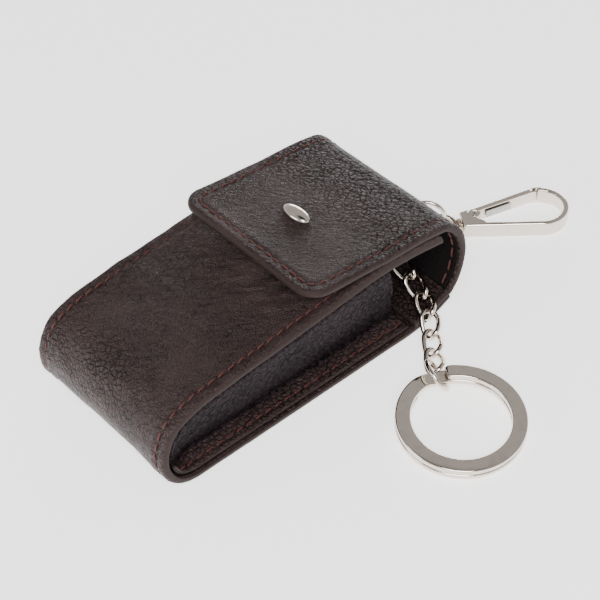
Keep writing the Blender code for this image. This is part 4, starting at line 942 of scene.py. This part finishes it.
def gusset_grid():
    """Middle surface of a side wall: rows from the mouth to the toe, columns from tab to flange."""
    path = offset_path(WRAP, GUSSET_DEPTH)
    apex_index = int(np.argmin(path[:, 0]))
    apex = path_lengths(path)[apex_index]
    knee = wrap_place(TOE_AND_FRONT_SHARES[0])[0]
    toe_share = np.concatenate([np.zeros(WALL_FLAT_STEPS), np.linspace(0, 1, WALL_TOE_STEPS + 1)])
    flat_share = np.minimum(np.arange(len(toe_share)) / WALL_FLAT_STEPS, 1)
    lines = []
    for mouth_share, first in ((GUSSET_FRONT_MOUTH_SHARE, apex_index), (GUSSET_BACK_MOUTH_SHARE, 0)):
        mouth = distance_where(path, 0, TOE_PLACE + mouth_share * POUCH_LENGTH, first)
        toe = distance_where(path, 0, knee, first)
        reach = toe_share * GUSSET_TOE_REACH_SHARE
        lines.append(points_at(path, mouth + (toe - mouth) * flat_share + (apex - toe) * reach))
    front, back = lines
    height = np.linalg.norm(back - front, axis=1)
    down = unit(back - front)
    bend = GUSSET_BEND_RADIUS
    tab, corner = HALF_WIDTH - GUSSET_TAB_INSET, HALF_WIDTH - GUSSET_CORNER_INSET
    crease = HALF_WIDTH - GUSSET_CREASE_INSET - (GUSSET_TOE_CREASE_INSET - GUSSET_CREASE_INSET) * toe_share
    flange = HALF_WIDTH - GUSSET_FLANGE_INSET
    profile = [(x, 0.0) for x in np.linspace(tab, corner - bend, TAB_STEPS)]
    for turn in GUSSET_BEND_TURNS:
        profile.append((corner - bend * (1 - math.sin(turn)), bend * (1 - math.cos(turn))))
    for share in np.linspace(0, 1, WALL_HEIGHT_STEPS):
        bulge = GUSSET_BULGE * math.sin(math.pi * share) * (corner - crease) / GUSSET_CREASE_INSET
        profile.append((corner + (crease - corner) * share + bulge, bend + (height - 2 * bend) * share))
    for turn in GUSSET_BEND_TURNS:
        profile.append((crease + bend * (1 - math.cos(turn)), height - bend * (1 - math.sin(turn))))
    for share in np.linspace(0, 1, FLANGE_STEPS):
        profile.append((crease + bend + (flange - crease - bend) * share, height))
    across, drop = [np.stack([point[k] + 0 * height for point in profile], axis=1) for k in (0, 1)]
    side_view = front[:, None] + down[:, None] * drop[..., None]
    return np.concatenate([across[..., None], side_view], axis=-1)


def grid_normals(grid):
    return unit(np.cross(np.gradient(grid, axis=0), np.gradient(grid, axis=1)))


WALL_GRID = gusset_grid()


def make_walls():
    """Side walls with slumped folds, creases at the mouth and pebbles, in a darker copy of the leather that
    paints their shade, and flanges in the strip's grain.
    """
    rows, columns = WALL_GRID.shape[:2]
    along, down = path_lengths(WALL_GRID[:, columns // 2]), path_lengths(WALL_GRID[rows // 3])
    s, t = np.meshgrid(along, down, indexing="ij")
    girth = down[-1]
    border = np.minimum(np.minimum(s, along[-1] - s), np.minimum(t, girth - t))
    rounding = GUSSET_LEATHER * WALL_EDGE_SHARE
    half = GUSSET_LEATHER / 2 - rounding + rounding * np.sqrt(1 - np.clip(1 - border / rounding, 0, 1) ** 2)
    on_wall = smoothstep((t - WALL_CALM) / WALL_FADE) * smoothstep((girth - WALL_CALM - t) / WALL_FADE)
    for word, side in SIDES:
        middle = WALL_GRID * (side, 1, 1)
        normal = grid_normals(middle) * side
        seed = WALL_SEEDS[side]
        folded = folds(s, t, WALL_SLUMP, seed) + folds(s + t, s - t, WALL_WRINKLES, seed)
        creased = np.exp(-s / MOUTH_REACH) * folds(t, s, WALL_CREASES, seed)
        cells = pebbles(s, t, WALL_PEBBLE_SIZE, seed + WALL_PEBBLE_SEED)
        height = FLANGE_PEBBLE_HEIGHT + WALL_PEBBLE_RISE * on_wall
        shift = on_wall * (folded + creased) + height * (cells - PEBBLE_LEVEL_SHARE)
        stitched = groove(t - (girth - STITCH_INSET + GUSSET_FLANGE_INSET))
        places = np.stack([s, t + WALL_TEXTURE_SHIFTS[side]], axis=-1)
        # Painted shade between the pebbles, light on the flanges and deeper on the walls, which stand in
        # shade; partly the leather's own darker creases
        tone_and_shade = 1 - (FLANGE_SHADE + WALL_SHADE_RISE * on_wall) * (1 - cells)
        middle = middle + normal * shift[..., None]
        item = layered(word + "_wall", middle, normal, half, border, stitched, places, 1.0, tone_and_shade)
        finish(item, SHADED_WALL, [word + "_gusset"], "pouch")
        # The flanges take the front's grained leather and the walls the darker copy, which is painted shade
        item.data.materials.append(GRAIN)
        column = np.tile(np.arange(columns - 1), 2 * (rows - 1))
        on_flange = np.zeros(len(item.data.polygons), np.int32)
        on_flange[:len(column)] = column >= columns - FLANGE_STEPS
        item.data.polygons.foreach_set("material_index", on_flange)


# Chain and rings

LINK_LENGTH = 0.0090
LINK_WIDTH = 0.0055
LINK_WIRE = 0.0013
LINK_TWIST_DEG = 90.0
LINK_ARC_POINTS = 16
LINK_SIDE_SHARES = (0.6, 0.2, -0.2, -0.6)
EYELET_LINK_ROLL_DEG = -40.0
JUMP_RING_WIRE = 0.00125
JUMP_RING_OPEN_DEG = 1.5
JUMP_RING_POINTS = 120

SPLIT_RING_DIAMETER = 0.032
SPLIT_BAND_WIDTH = 0.00375
SPLIT_COIL_THICKNESS = 0.0015
SPLIT_COIL_GAP = 0.0003
SPLIT_EDGE_RADIUS = 0.00042
SPLIT_RING_HEADING_DEG = -20.6
SPLIT_JOG_DEG = 174.0
SPLIT_JOG_SPAN_DEG = 34.0
SPLIT_END_GAP_DEG = 3.0
SPLIT_STEPS = 420
SPLIT_TAPER_DEG = 4.0
SPLIT_TAPER_SHARE = 0.28
BAND_CORNER_STEPS = 5


def joint_place(body):
    return Vector(JOINTS[body]["pos_m"])


def heading(turn_deg, rise_deg=0.0):
    turn, rise = math.radians(turn_deg), math.radians(rise_deg)
    return Vector((math.cos(turn) * math.cos(rise), math.sin(turn) * math.cos(rise), math.sin(rise)))


def wire(name, points, thickness, closed=True):
    curve = bpy.data.curves.new(name, "CURVE")
    curve.dimensions = "3D"
    curve.bevel_depth = thickness / 2
    curve.bevel_resolution = WIRE_STEPS
    curve.use_fill_caps = True
    spline = curve.splines.new("POLY")
    spline.points.add(len(points) - 1)
    for point, place in zip(spline.points, points):
        point.co = (*place, 1)
    spline.use_cyclic_u = closed
    return bake(placed(name, curve))


def link_points(centre, along, wide):
    """The middle line of a curb link: a long oval, twisted about its length."""
    sideways = along.cross(wide)
    span = LINK_LENGTH - LINK_WIRE
    end_radius = (LINK_WIDTH - LINK_WIRE) / 2
    straight = span / 2 - end_radius
    outline = []
    for side in (1, -1):
        for angle in np.linspace(-math.pi / 2, math.pi / 2, LINK_ARC_POINTS):
            x, y = straight + end_radius * math.cos(angle), end_radius * math.sin(angle)
            outline.append((side * x, side * y))
        outline += [(side * share * straight, side * end_radius) for share in LINK_SIDE_SHARES]
    points = []
    for x, y in outline:
        turn = math.radians(LINK_TWIST_DEG) * x / span
        points.append(centre + along * x + (wide * math.cos(turn) + sideways * math.sin(turn)) * y)
    return points


def make_chain():
    """Every link lies between its own joint and the next, turned as its joint's axis says."""
    inner = ["chain_link_%02d" % number for number in range(4, 12)] + ["end_ring"]
    outer = ["chain_link_02", "chain_link_01", "hook_ring"]
    first = (joint_place("chain_link_04") - joint_place("chain_link_02")).normalized()
    centre = (joint_place("chain_link_04") + joint_place("chain_link_02")) / 2
    level = (UP - first * UP.dot(first)).normalized()
    wide = Matrix.Rotation(math.radians(EYELET_LINK_ROLL_DEG), 3, first) @ level
    shapes = [("chain_link_03", centre, first, wide)]
    for run, sense in ((inner, 1), (outer, -1)):
        for index, (body, following) in enumerate(zip(run, run[1:])):
            start, end = joint_place(body), joint_place(following)
            along = (end - start).normalized() * sense
            axis = Vector(JOINTS[body]["axis"])
            wide = axis if index % 2 else axis.cross(along)
            shapes.append((body, (start + end) / 2, along, wide.normalized()))
    for body, centre, along, wide in shapes:
        finish(wire(body + "_wire", link_points(centre, along, wide), LINK_WIRE), NICKEL, [body], body)


def ring_points(node):
    """The middle line of the round wire in a CAD node, left open by a fine seam."""
    points = np.array([v.co for v in frame["nodes"][node].data.vertices], float)
    centre = points.mean(axis=0)
    directions = np.linalg.svd(points - centre, full_matrices=False)[2]
    reach = np.linalg.norm((points - centre) @ directions[:2].T, axis=1)
    radius = (reach.max() + reach.min()) / 2
    first, second = Vector(directions[0]), Vector(directions[1])
    centre = Vector(centre)
    turns = np.radians(np.linspace(JUMP_RING_OPEN_DEG / 2, 360 - JUMP_RING_OPEN_DEG / 2, JUMP_RING_POINTS))
    return [centre + (first * math.cos(a) + second * math.sin(a)) * radius for a in turns]


def make_jump_rings():
    for node in ("end_ring", "hook_ring"):
        finish(wire(node + "_wire", ring_points(node), JUMP_RING_WIRE, closed=False), NICKEL, [node], node)


def band_section(width, height, radius):
    """Corners of a rectangle with rounded corners, counter-clockwise."""
    outline = []
    for quarter, (x, y) in enumerate(((1, 1), (-1, 1), (-1, -1), (1, -1))):
        for step in range(BAND_CORNER_STEPS + 1):
            angle = math.pi / 2 * (quarter + step / BAND_CORNER_STEPS)
            outline.append((x * (width / 2 - radius) + radius * math.cos(angle),
                            y * (height / 2 - radius) + radius * math.sin(angle)))
    return np.array(outline)


def make_split_ring():
    """Two turns of flat bar: the coil climbs from the lower turn in one short stretch."""
    band_place = joint_place("split_ring")
    middle = (SPLIT_RING_DIAMETER - SPLIT_BAND_WIDTH) / 2
    half_height = SPLIT_COIL_THICKNESS + SPLIT_COIL_GAP / 2
    tilt = math.asin((band_place.z - half_height - SPLIT_COIL_GAP / 2) / (middle + SPLIT_RING_DIAMETER / 2))
    outward = heading(SPLIT_RING_HEADING_DEG, -math.degrees(tilt))
    sideways = UP.cross(outward).normalized()
    rising = np.array(outward.cross(sideways))
    start, end = SPLIT_JOG_SPAN_DEG + SPLIT_END_GAP_DEG, 720.0 - SPLIT_END_GAP_DEG
    turns = np.linspace(start, end, SPLIT_STEPS)
    climb = smoothstep((turns - 360.0) / SPLIT_JOG_SPAN_DEG) - 0.5
    angles = np.radians(SPLIT_JOG_DEG + turns)[:, None]
    radial = np.array(outward) * np.cos(angles) + np.array(sideways) * np.sin(angles)
    centre = np.array(band_place + outward * middle)
    level = (SPLIT_COIL_THICKNESS + SPLIT_COIL_GAP) * climb[:, None]
    from_end = np.minimum(turns - start, end - turns) / SPLIT_TAPER_DEG
    sizes = 1 - SPLIT_TAPER_SHARE * (1 - np.minimum(from_end, 1)) ** 2
    section = band_section(SPLIT_BAND_WIDTH, SPLIT_COIL_THICKNESS, SPLIT_EDGE_RADIUS) * sizes[:, None, None]
    middle_line = centre + radial * middle + rising * level
    coil = middle_line[:, None] + radial[:, None] * section[..., :1] + rising * section[..., 1:]
    finish(bake(tubes("split_ring_coil", [coil])), NICKEL, ["split_ring"], "split_ring")


# Hook

HOOK_HEADING_DEG = 61.5
HOOK_LENGTH = 0.02965
HOOK_END_RADIUS = 0.00765
HOOK_BASE_HALF_WIDTH = 0.0029
HOOK_BASE_START = -0.0004
HOOK_BASE_END = 0.0058
HOOK_BAND = 0.0015
HOOK_HEIGHT = 0.0046
HOOK_EDGE = 0.00056
EDGE_ROOM_SHARE = 0.80
THICKNESS_SHARE = 0.40
OPPOSITE_FROM = 0.0024
ROOM_HOLD = 0.0009
ROOM_SLOPE = 0.30
CORNER_DEG = 40.0
NOSE_LIP_END_DEG = 92.0
NOSE_STEP_DEG = 79.0
LAP_GAP = 0.0003
GATE_HEIGHT = 0.0040
GATE_EDGE = 0.00050
GATE_PIVOT_PLACE = 0.0038
GATE_EAR_RADIUS = 0.0017
GATE_EAR_THICKNESS = 0.0010
GATE_OPENING_DEG = 26.0
PIN_RADIUS = 0.0006
SWIVEL_COLLAR_RADIUS = 0.0022
SWIVEL_COLLAR_LENGTH = 0.0008
SWIVEL_SHANK_RADIUS = 0.0006
SWIVEL_EYE_DIAMETER = 0.009
SWIVEL_EYE_WIRE = 0.0017
SWIVEL_EYE_ROLL_DEG = 21.7
SWIVEL_COLLAR_ROUNDING = 0.00025
SWIVEL_SHANK_SUNK = 0.0008
SWIVEL_EYE_POINTS = 96
PIN_HEAD_SHARE = 1.35
PIN_TOP_SHARE = 0.8
PIN_SHOULDER = 0.00012
PIN_CROWN = 0.00022
PIN_ANGLE_DEG = 50.0
TURNED_STEPS = 72
ARC_STEP_DEG = 3.0
FAR = 1.0


def arc(centre, radius, start_deg, end_deg):
    count = max(1, math.ceil(abs(end_deg - start_deg) / ARC_STEP_DEG))
    return [centre + heading(start_deg + (end_deg - start_deg) * step / count).xy * radius
            for step in range(count + 1)]


def turned(name, profile, matrix):
    """An open profile of radius and height, turned about the matrix's Z axis."""
    item = from_lists(name, [(radius, 0, height) for radius, height in profile],
                      [(index, index + 1) for index in range(len(profile) - 1)], [])
    turning = item.modifiers.new("turn", "SCREW")
    turning.steps = TURNED_STEPS
    turning.render_steps = TURNED_STEPS
    turning.use_merge_vertices = True
    turning.merge_threshold = WELD_DISTANCE
    item.matrix_world = matrix
    return bake(item)


def rounding_room(outline, edge):
    """How much each corner of an outline can be rounded: less where the plate is thin or has a short step."""
    count = len(outline)
    steps = [outline[(index + 1) % count] - outline[index] for index in range(count)]
    turns = [steps[index - 1].angle_signed(steps[index]) for index in range(count)]
    places = np.array([tuple(p) for p in outline])
    spans = np.array([step.length for step in steps])
    along = np.concatenate([[0.0], np.cumsum(spans)[:-1]])
    apart = np.abs(along[:, None] - along[None])
    apart = np.minimum(apart, spans.sum() - apart)
    across = np.linalg.norm(places[:, None] - places[None], axis=-1)
    room = np.minimum(edge, THICKNESS_SHARE * np.where(apart > OPPOSITE_FROM, across, FAR).min(axis=1))
    for index in range(count):
        following = (index + 1) % count
        used = math.tan(turns[index] / 2) + math.tan(turns[following] / 2)
        if used > NEAR:
            left = EDGE_ROOM_SHARE * spans[index] / used
            room[index] = min(room[index], left)
            room[following] = min(room[following], left)
    spread = np.maximum(apart - ROOM_HOLD, 0) * ROOM_SLOPE
    return (room[None] + spread).min(axis=1), turns


def prism(name, outline, height, matrix, edge):
    """An upright plate with rounded edges, less rounded where its outline has a narrow step."""
    room, turns = rounding_room(outline, edge)
    shape = bmesh.new()
    weights = shape.edges.layers.float.new("bevel_weight_edge")
    corners = [shape.verts.new((p.x, p.y, -height / 2)) for p in outline]
    face = shape.faces.new(corners)
    number = {(vert.co.x, vert.co.y): index for index, vert in enumerate(corners)}
    grown = bmesh.ops.extrude_face_region(shape, geom=[face])["geom"]
    top = [part for part in grown if isinstance(part, bmesh.types.BMVert)]
    bmesh.ops.translate(shape, verts=top, vec=(0, 0, height))
    bmesh.ops.recalc_face_normals(shape, faces=shape.faces)
    for side in shape.edges:
        first, second = [number[(vert.co.x, vert.co.y)] for vert in side.verts]
        if first != second or abs(turns[first]) > math.radians(CORNER_DEG):
            side[weights] = float(min(room[first], room[second])) / edge
    item = from_shape(name, shape)
    rounding = item.modifiers.new("edges", "BEVEL")
    rounding.width = edge
    rounding.segments = PLATE_EDGE_STEPS
    rounding.limit_method = "WEIGHT"
    rounding.use_clamp_overlap = False
    item.matrix_world = matrix
    return bake(item)


class HookShape:
    """The teardrop in the hook's own plane, which its bar and its gate follow."""

    def __init__(self):
        self.centre = Vector((HOOK_LENGTH - HOOK_END_RADIUS, 0))
        self.corner = Vector((HOOK_BASE_START, HOOK_BASE_HALF_WIDTH))
        reach = self.centre - self.corner
        spread = math.atan2(reach.y, reach.x) + math.asin(HOOK_END_RADIUS / reach.length)
        self.spread_deg = math.degrees(spread)
        self.along = Vector((math.cos(spread), math.sin(spread)))
        self.outward = Vector((-self.along.y, self.along.x))
        self.tangent_deg = 90.0 + self.spread_deg
        self.pivot = self.on_line(GATE_PIVOT_PLACE, GATE_EAR_RADIUS)

    def on_line(self, place, depth):
        start = self.corner - self.outward * depth
        return start + self.along * ((place - start.x) / self.along.x)

    def band_arc(self, depth, start_deg, end_deg):
        return arc(self.centre, HOOK_END_RADIUS - depth, start_deg, end_deg)


def make_hook_frame(shape, matrix, pivot):
    """The fixed bar: base, closed side and the nose's inner half, with a tongue between the gate's ears."""
    lobe = arc(shape.pivot, GATE_EAR_RADIUS, shape.tangent_deg, shape.spread_deg - GATE_OPENING_DEG - 90.0)
    outline = [shape.corner.copy()] + lobe
    outline.append(Vector((HOOK_BASE_END, lobe[-1].y - (HOOK_BASE_END - lobe[-1].x))))
    outline.append(Vector((HOOK_BASE_END, -shape.on_line(HOOK_BASE_END, HOOK_BAND).y)))
    outline += shape.band_arc(HOOK_BAND, -shape.tangent_deg, NOSE_STEP_DEG)
    outline += shape.band_arc((HOOK_BAND - LAP_GAP) / 2, NOSE_STEP_DEG, NOSE_LIP_END_DEG)
    outline += shape.band_arc(0, NOSE_LIP_END_DEG, -shape.tangent_deg)
    outline.append(Vector((shape.corner.x, -shape.corner.y)))
    body = prism("hook_frame", outline, HOOK_HEIGHT, matrix, HOOK_EDGE)
    tongue = GATE_HEIGHT / 2 - GATE_EAR_THICKNESS - SEAT_GAP
    for side in (1, -1):
        middle = Matrix.Translation((0, 0, side * (HOOK_HEIGHT + tongue) / 2))
        cut_hole(body, pivot @ middle, GATE_EAR_RADIUS + SEAT_GAP, HOOK_HEIGHT - tongue, "MANIFOLD")
    finish(crisp(body), NICKEL, ["hook_body"], "snap_hook")


def make_gate(shape, matrix, pivot):
    """The sprung bar with its two ears, and the pin riveted through them."""
    lap_gap_deg = math.degrees(LAP_GAP / (HOOK_END_RADIUS - HOOK_BAND))
    tip_deg, lip_deg = NOSE_STEP_DEG + lap_gap_deg, NOSE_LIP_END_DEG + lap_gap_deg
    rise = GATE_EAR_RADIUS - HOOK_BAND
    outline = shape.band_arc(0, shape.tangent_deg, lip_deg)
    outline += shape.band_arc((HOOK_BAND + LAP_GAP) / 2, lip_deg, tip_deg)
    outline += shape.band_arc(HOOK_BAND, tip_deg, shape.tangent_deg)
    reach = math.sqrt(GATE_EAR_RADIUS ** 2 - rise ** 2)
    outline.append(shape.pivot + shape.outward * rise + shape.along * reach)
    ear_start_deg = shape.spread_deg + math.degrees(math.asin(rise / GATE_EAR_RADIUS))
    outline += arc(shape.pivot, GATE_EAR_RADIUS, ear_start_deg, shape.tangent_deg - 360.0)[1:]
    gate = prism("gate_bar", outline, GATE_HEIGHT, matrix, GATE_EDGE)
    cut_hole(gate, pivot, GATE_EAR_RADIUS + SEAT_GAP, GATE_HEIGHT - 2 * GATE_EAR_THICKNESS, "MANIFOLD")
    finish(crisp(gate), NICKEL, ["hook_gate"], "gate")
    head, top = PIN_RADIUS * PIN_HEAD_SHARE, GATE_HEIGHT / 2
    profile = [(0, -top), (head, -top), (head, top), (head * PIN_TOP_SHARE, top + PIN_SHOULDER),
               (0, top + PIN_CROWN)]
    finish(crisp(turned("pin_rivet", profile, pivot), PIN_ANGLE_DEG), NICKEL, ["gate_pin"], "gate")


def make_swivel(matrix):
    """The eye on its collar and shank."""
    top = HOOK_BASE_START - SEAT_GAP
    collar = top - SWIVEL_COLLAR_LENGTH
    eye_at = collar - SWIVEL_EYE_DIAMETER / 2 + SEAT_GAP
    radius = (SWIVEL_EYE_DIAMETER - SWIVEL_EYE_WIRE) / 2
    rolled = matrix @ Matrix.Rotation(math.radians(SWIVEL_EYE_ROLL_DEG), 4, "X")
    turns = [2 * math.pi * step / SWIVEL_EYE_POINTS for step in range(SWIVEL_EYE_POINTS)]
    loop = [rolled @ Vector((eye_at + radius * math.cos(a), radius * math.sin(a), 0)) for a in turns]
    eye = wire("swivel_loop", loop, SWIVEL_EYE_WIRE)
    shank, wide, rounding = SWIVEL_SHANK_RADIUS, SWIVEL_COLLAR_RADIUS, SWIVEL_COLLAR_ROUNDING
    sunk = HOOK_BASE_START + SWIVEL_SHANK_SUNK
    profile = [(0, sunk), (shank, sunk), (shank, top), (wide - rounding, top), (wide, top - rounding),
               (wide, collar + rounding), (wide - rounding, collar), (0, collar)]
    stem = turned("swivel_stem", profile, matrix @ Matrix.Rotation(math.radians(90), 4, "Y"))
    finish(eye, NICKEL, ["swivel_eye"], "swivel_eye")
    finish(crisp(stem), NICKEL, [], "swivel_eye")


def make_hook():
    """The hook lies level, with its base at the swivel's joint."""
    shape = HookShape()
    along = heading(HOOK_HEADING_DEG)
    matrix = Matrix((along, UP.cross(along), UP)).transposed().to_4x4()
    matrix.translation = joint_place("snap_hook")
    pivot = matrix @ Matrix.Translation((*shape.pivot, 0))
    make_hook_frame(shape, matrix, pivot)
    make_gate(shape, matrix, pivot)
    make_swivel(matrix)


def make_small_parts():
    """Small CAD pieces: two polished copies with smooth shading, and the rest shown as they are."""
    for node, body in (("ornament", "flap"), ("spine_eyelet", "spine")):
        item = placed(node + "_polished", frame["nodes"][node].data.copy())
        finish(crisp(item), NICKEL, [node], body)
    for node, item in frame["nodes"].items():
        if not item.hide_render:
            steel = "washer" in node or node in ("gate_spring", "snap_magnet")
            item.data.materials.clear()
            item.data.materials.append(STEEL if steel else NICKEL)


# Seams: how deep under the outer face each one's thread lies, and which way it faces

SEAM_FACES = {"outer": (GROOVE_DEPTH, 1), "inner": (STRIP_DEPTH, -1)}


def sewn(name, sheet, outline, face, place):
    """Stitches on one face of a sheet, along a list of places given as (distance, across)."""
    depth, sense = SEAM_FACES[face]
    outline = np.array(outline, float)
    lengths = path_lengths(outline)
    places = np.linspace(0, lengths[-1], max(2, int(lengths[-1] / ROUTE_STEP)))
    s, x = points_at(outline, places).T
    point, normal = sheet.place(s - sheet.start, x, depth)
    stitches(name, point, normal * sense, place)


def make_stitches():
    edge = HALF_WIDTH - STITCH_INSET
    for word, side in SIDES:
        line = [(STITCH_MARGIN, side * edge), (WRAP_LENGTH - STITCH_MARGIN, side * edge)]
        sewn("pouch_stitches_" + word, WRAP_SHEET, line, "outer", "pouch")
    bend = FLAP_CORNER_RADIUS - STITCH_INSET
    outline = [(MID_SPINE - SEAM_MARGIN, edge), (FLAP_CORNER_RADIUS, edge)]
    for turn in CORNER_TURNS:
        outline.append((FLAP_CORNER_RADIUS - bend * math.sin(turn), edge - bend + bend * math.cos(turn)))
    outline += [(s, -x) for s, x in outline[::-1]]
    for face in SEAM_FACES:
        sewn("flap_stitches_" + face, FLAP_SHEET, outline, face, FLAP_BLEND)
    for word, side in SIDES:
        line = [(MID_SPINE + SEAM_MARGIN, side * edge), (STRIP_LENGTH - FOOT_STITCH_STOP, side * edge)]
        for face in SEAM_FACES:
            sewn("spine_stitches_%s_%s" % (face, word), SPINE_SHEET, line, face, SPINE_BLEND)
    for word, side in SIDES:
        route = WALL_GRID[:FLANGE_STITCH_ROWS, FLANGE_STITCH_COLUMN] * (side, 1, 1)
        normal = grid_normals(WALL_GRID)[:FLANGE_STITCH_ROWS, FLANGE_STITCH_COLUMN] * (side, 1, 1)
        normal = normal * np.sign(normal[:, 2:].mean())
        raised = route + normal * (GUSSET_LEATHER / 2 - GROOVE_DEPTH)
        stitches("flange_stitches_" + word, raised[1:], normal[1:], "pouch")


# Stage

FLOOR_HALF_SIZE = 3.0
FLOOR_DROP = 0.0001


def make_stage():
    reach = FLOOR_HALF_SIZE
    corners = ((-reach, -reach), (reach, -reach), (reach, reach), (-reach, reach))
    floor = from_lists("floor", [(*corner, -FLOOR_DROP) for corner in corners], [], [(0, 1, 2, 3)])
    floor.data.materials.append(material_of("floor_paper", lit_paper))
    make_sky()
    for name, place, width, height, power in LIGHTS:
        data = bpy.data.lights.new(name, "AREA")
        data.shape = "RECTANGLE"
        data.size = width
        data.size_y = height
        data.energy = power
        lamp = placed(name, data)
        lamp.location = place
        lamp.visible_camera = False
        lamp.rotation_euler = (LOOK_AT - Vector(place)).to_track_quat("-Z", "Y").to_euler()


def make_sky():
    """A soft studio: light near the floor's edge and darker overhead."""
    world = bpy.context.scene.world or bpy.data.worlds.new("studio")
    bpy.context.scene.world = world
    world.use_nodes = True
    tree = world.node_tree
    make = Nodes(tree)
    rise = make.add("SeparateXYZ", {0: make.add("TexCoord", {}, "Generated")}, "Z")
    colour = make.mixed(make.ranged(rise, *SKY_BAND), SKY_LOW, SKY_HIGH)
    colour = make.mixed(make.ranged(rise, *SKY_TOP_BAND), colour, SKY_TOP)
    tree.links.new(colour, tree.nodes["Background"].inputs["Color"])


def make_camera():
    """Turned round the pouch, raised and rolled, looking at one point from the camera's distance."""
    turn, fall, roll = [math.radians(angle) for angle in (AZIMUTH_DEG, 90.0 - ELEVATION_DEG, ROLL_DEG)]
    view = Matrix.Rotation(turn, 4, "Z") @ Matrix.Rotation(fall, 4, "X") @ Matrix.Rotation(roll, 4, "Z")
    data = bpy.data.cameras.new("camera")
    data.sensor_width = SENSOR_MM
    data.lens = LENS_SHARE * SENSOR_MM
    data.clip_start = CLIP_START
    camera = placed("camera", data)
    camera.matrix_world = Matrix.Translation(LOOK_AT + view.col[2].xyz * CAMERA_DISTANCE) @ view
    bpy.context.scene.camera = camera


make_leather()
make_walls()
make_chain()
make_jump_rings()
make_split_ring()
make_hook()
make_small_parts()
make_stitches()
make_stage()
make_camera()
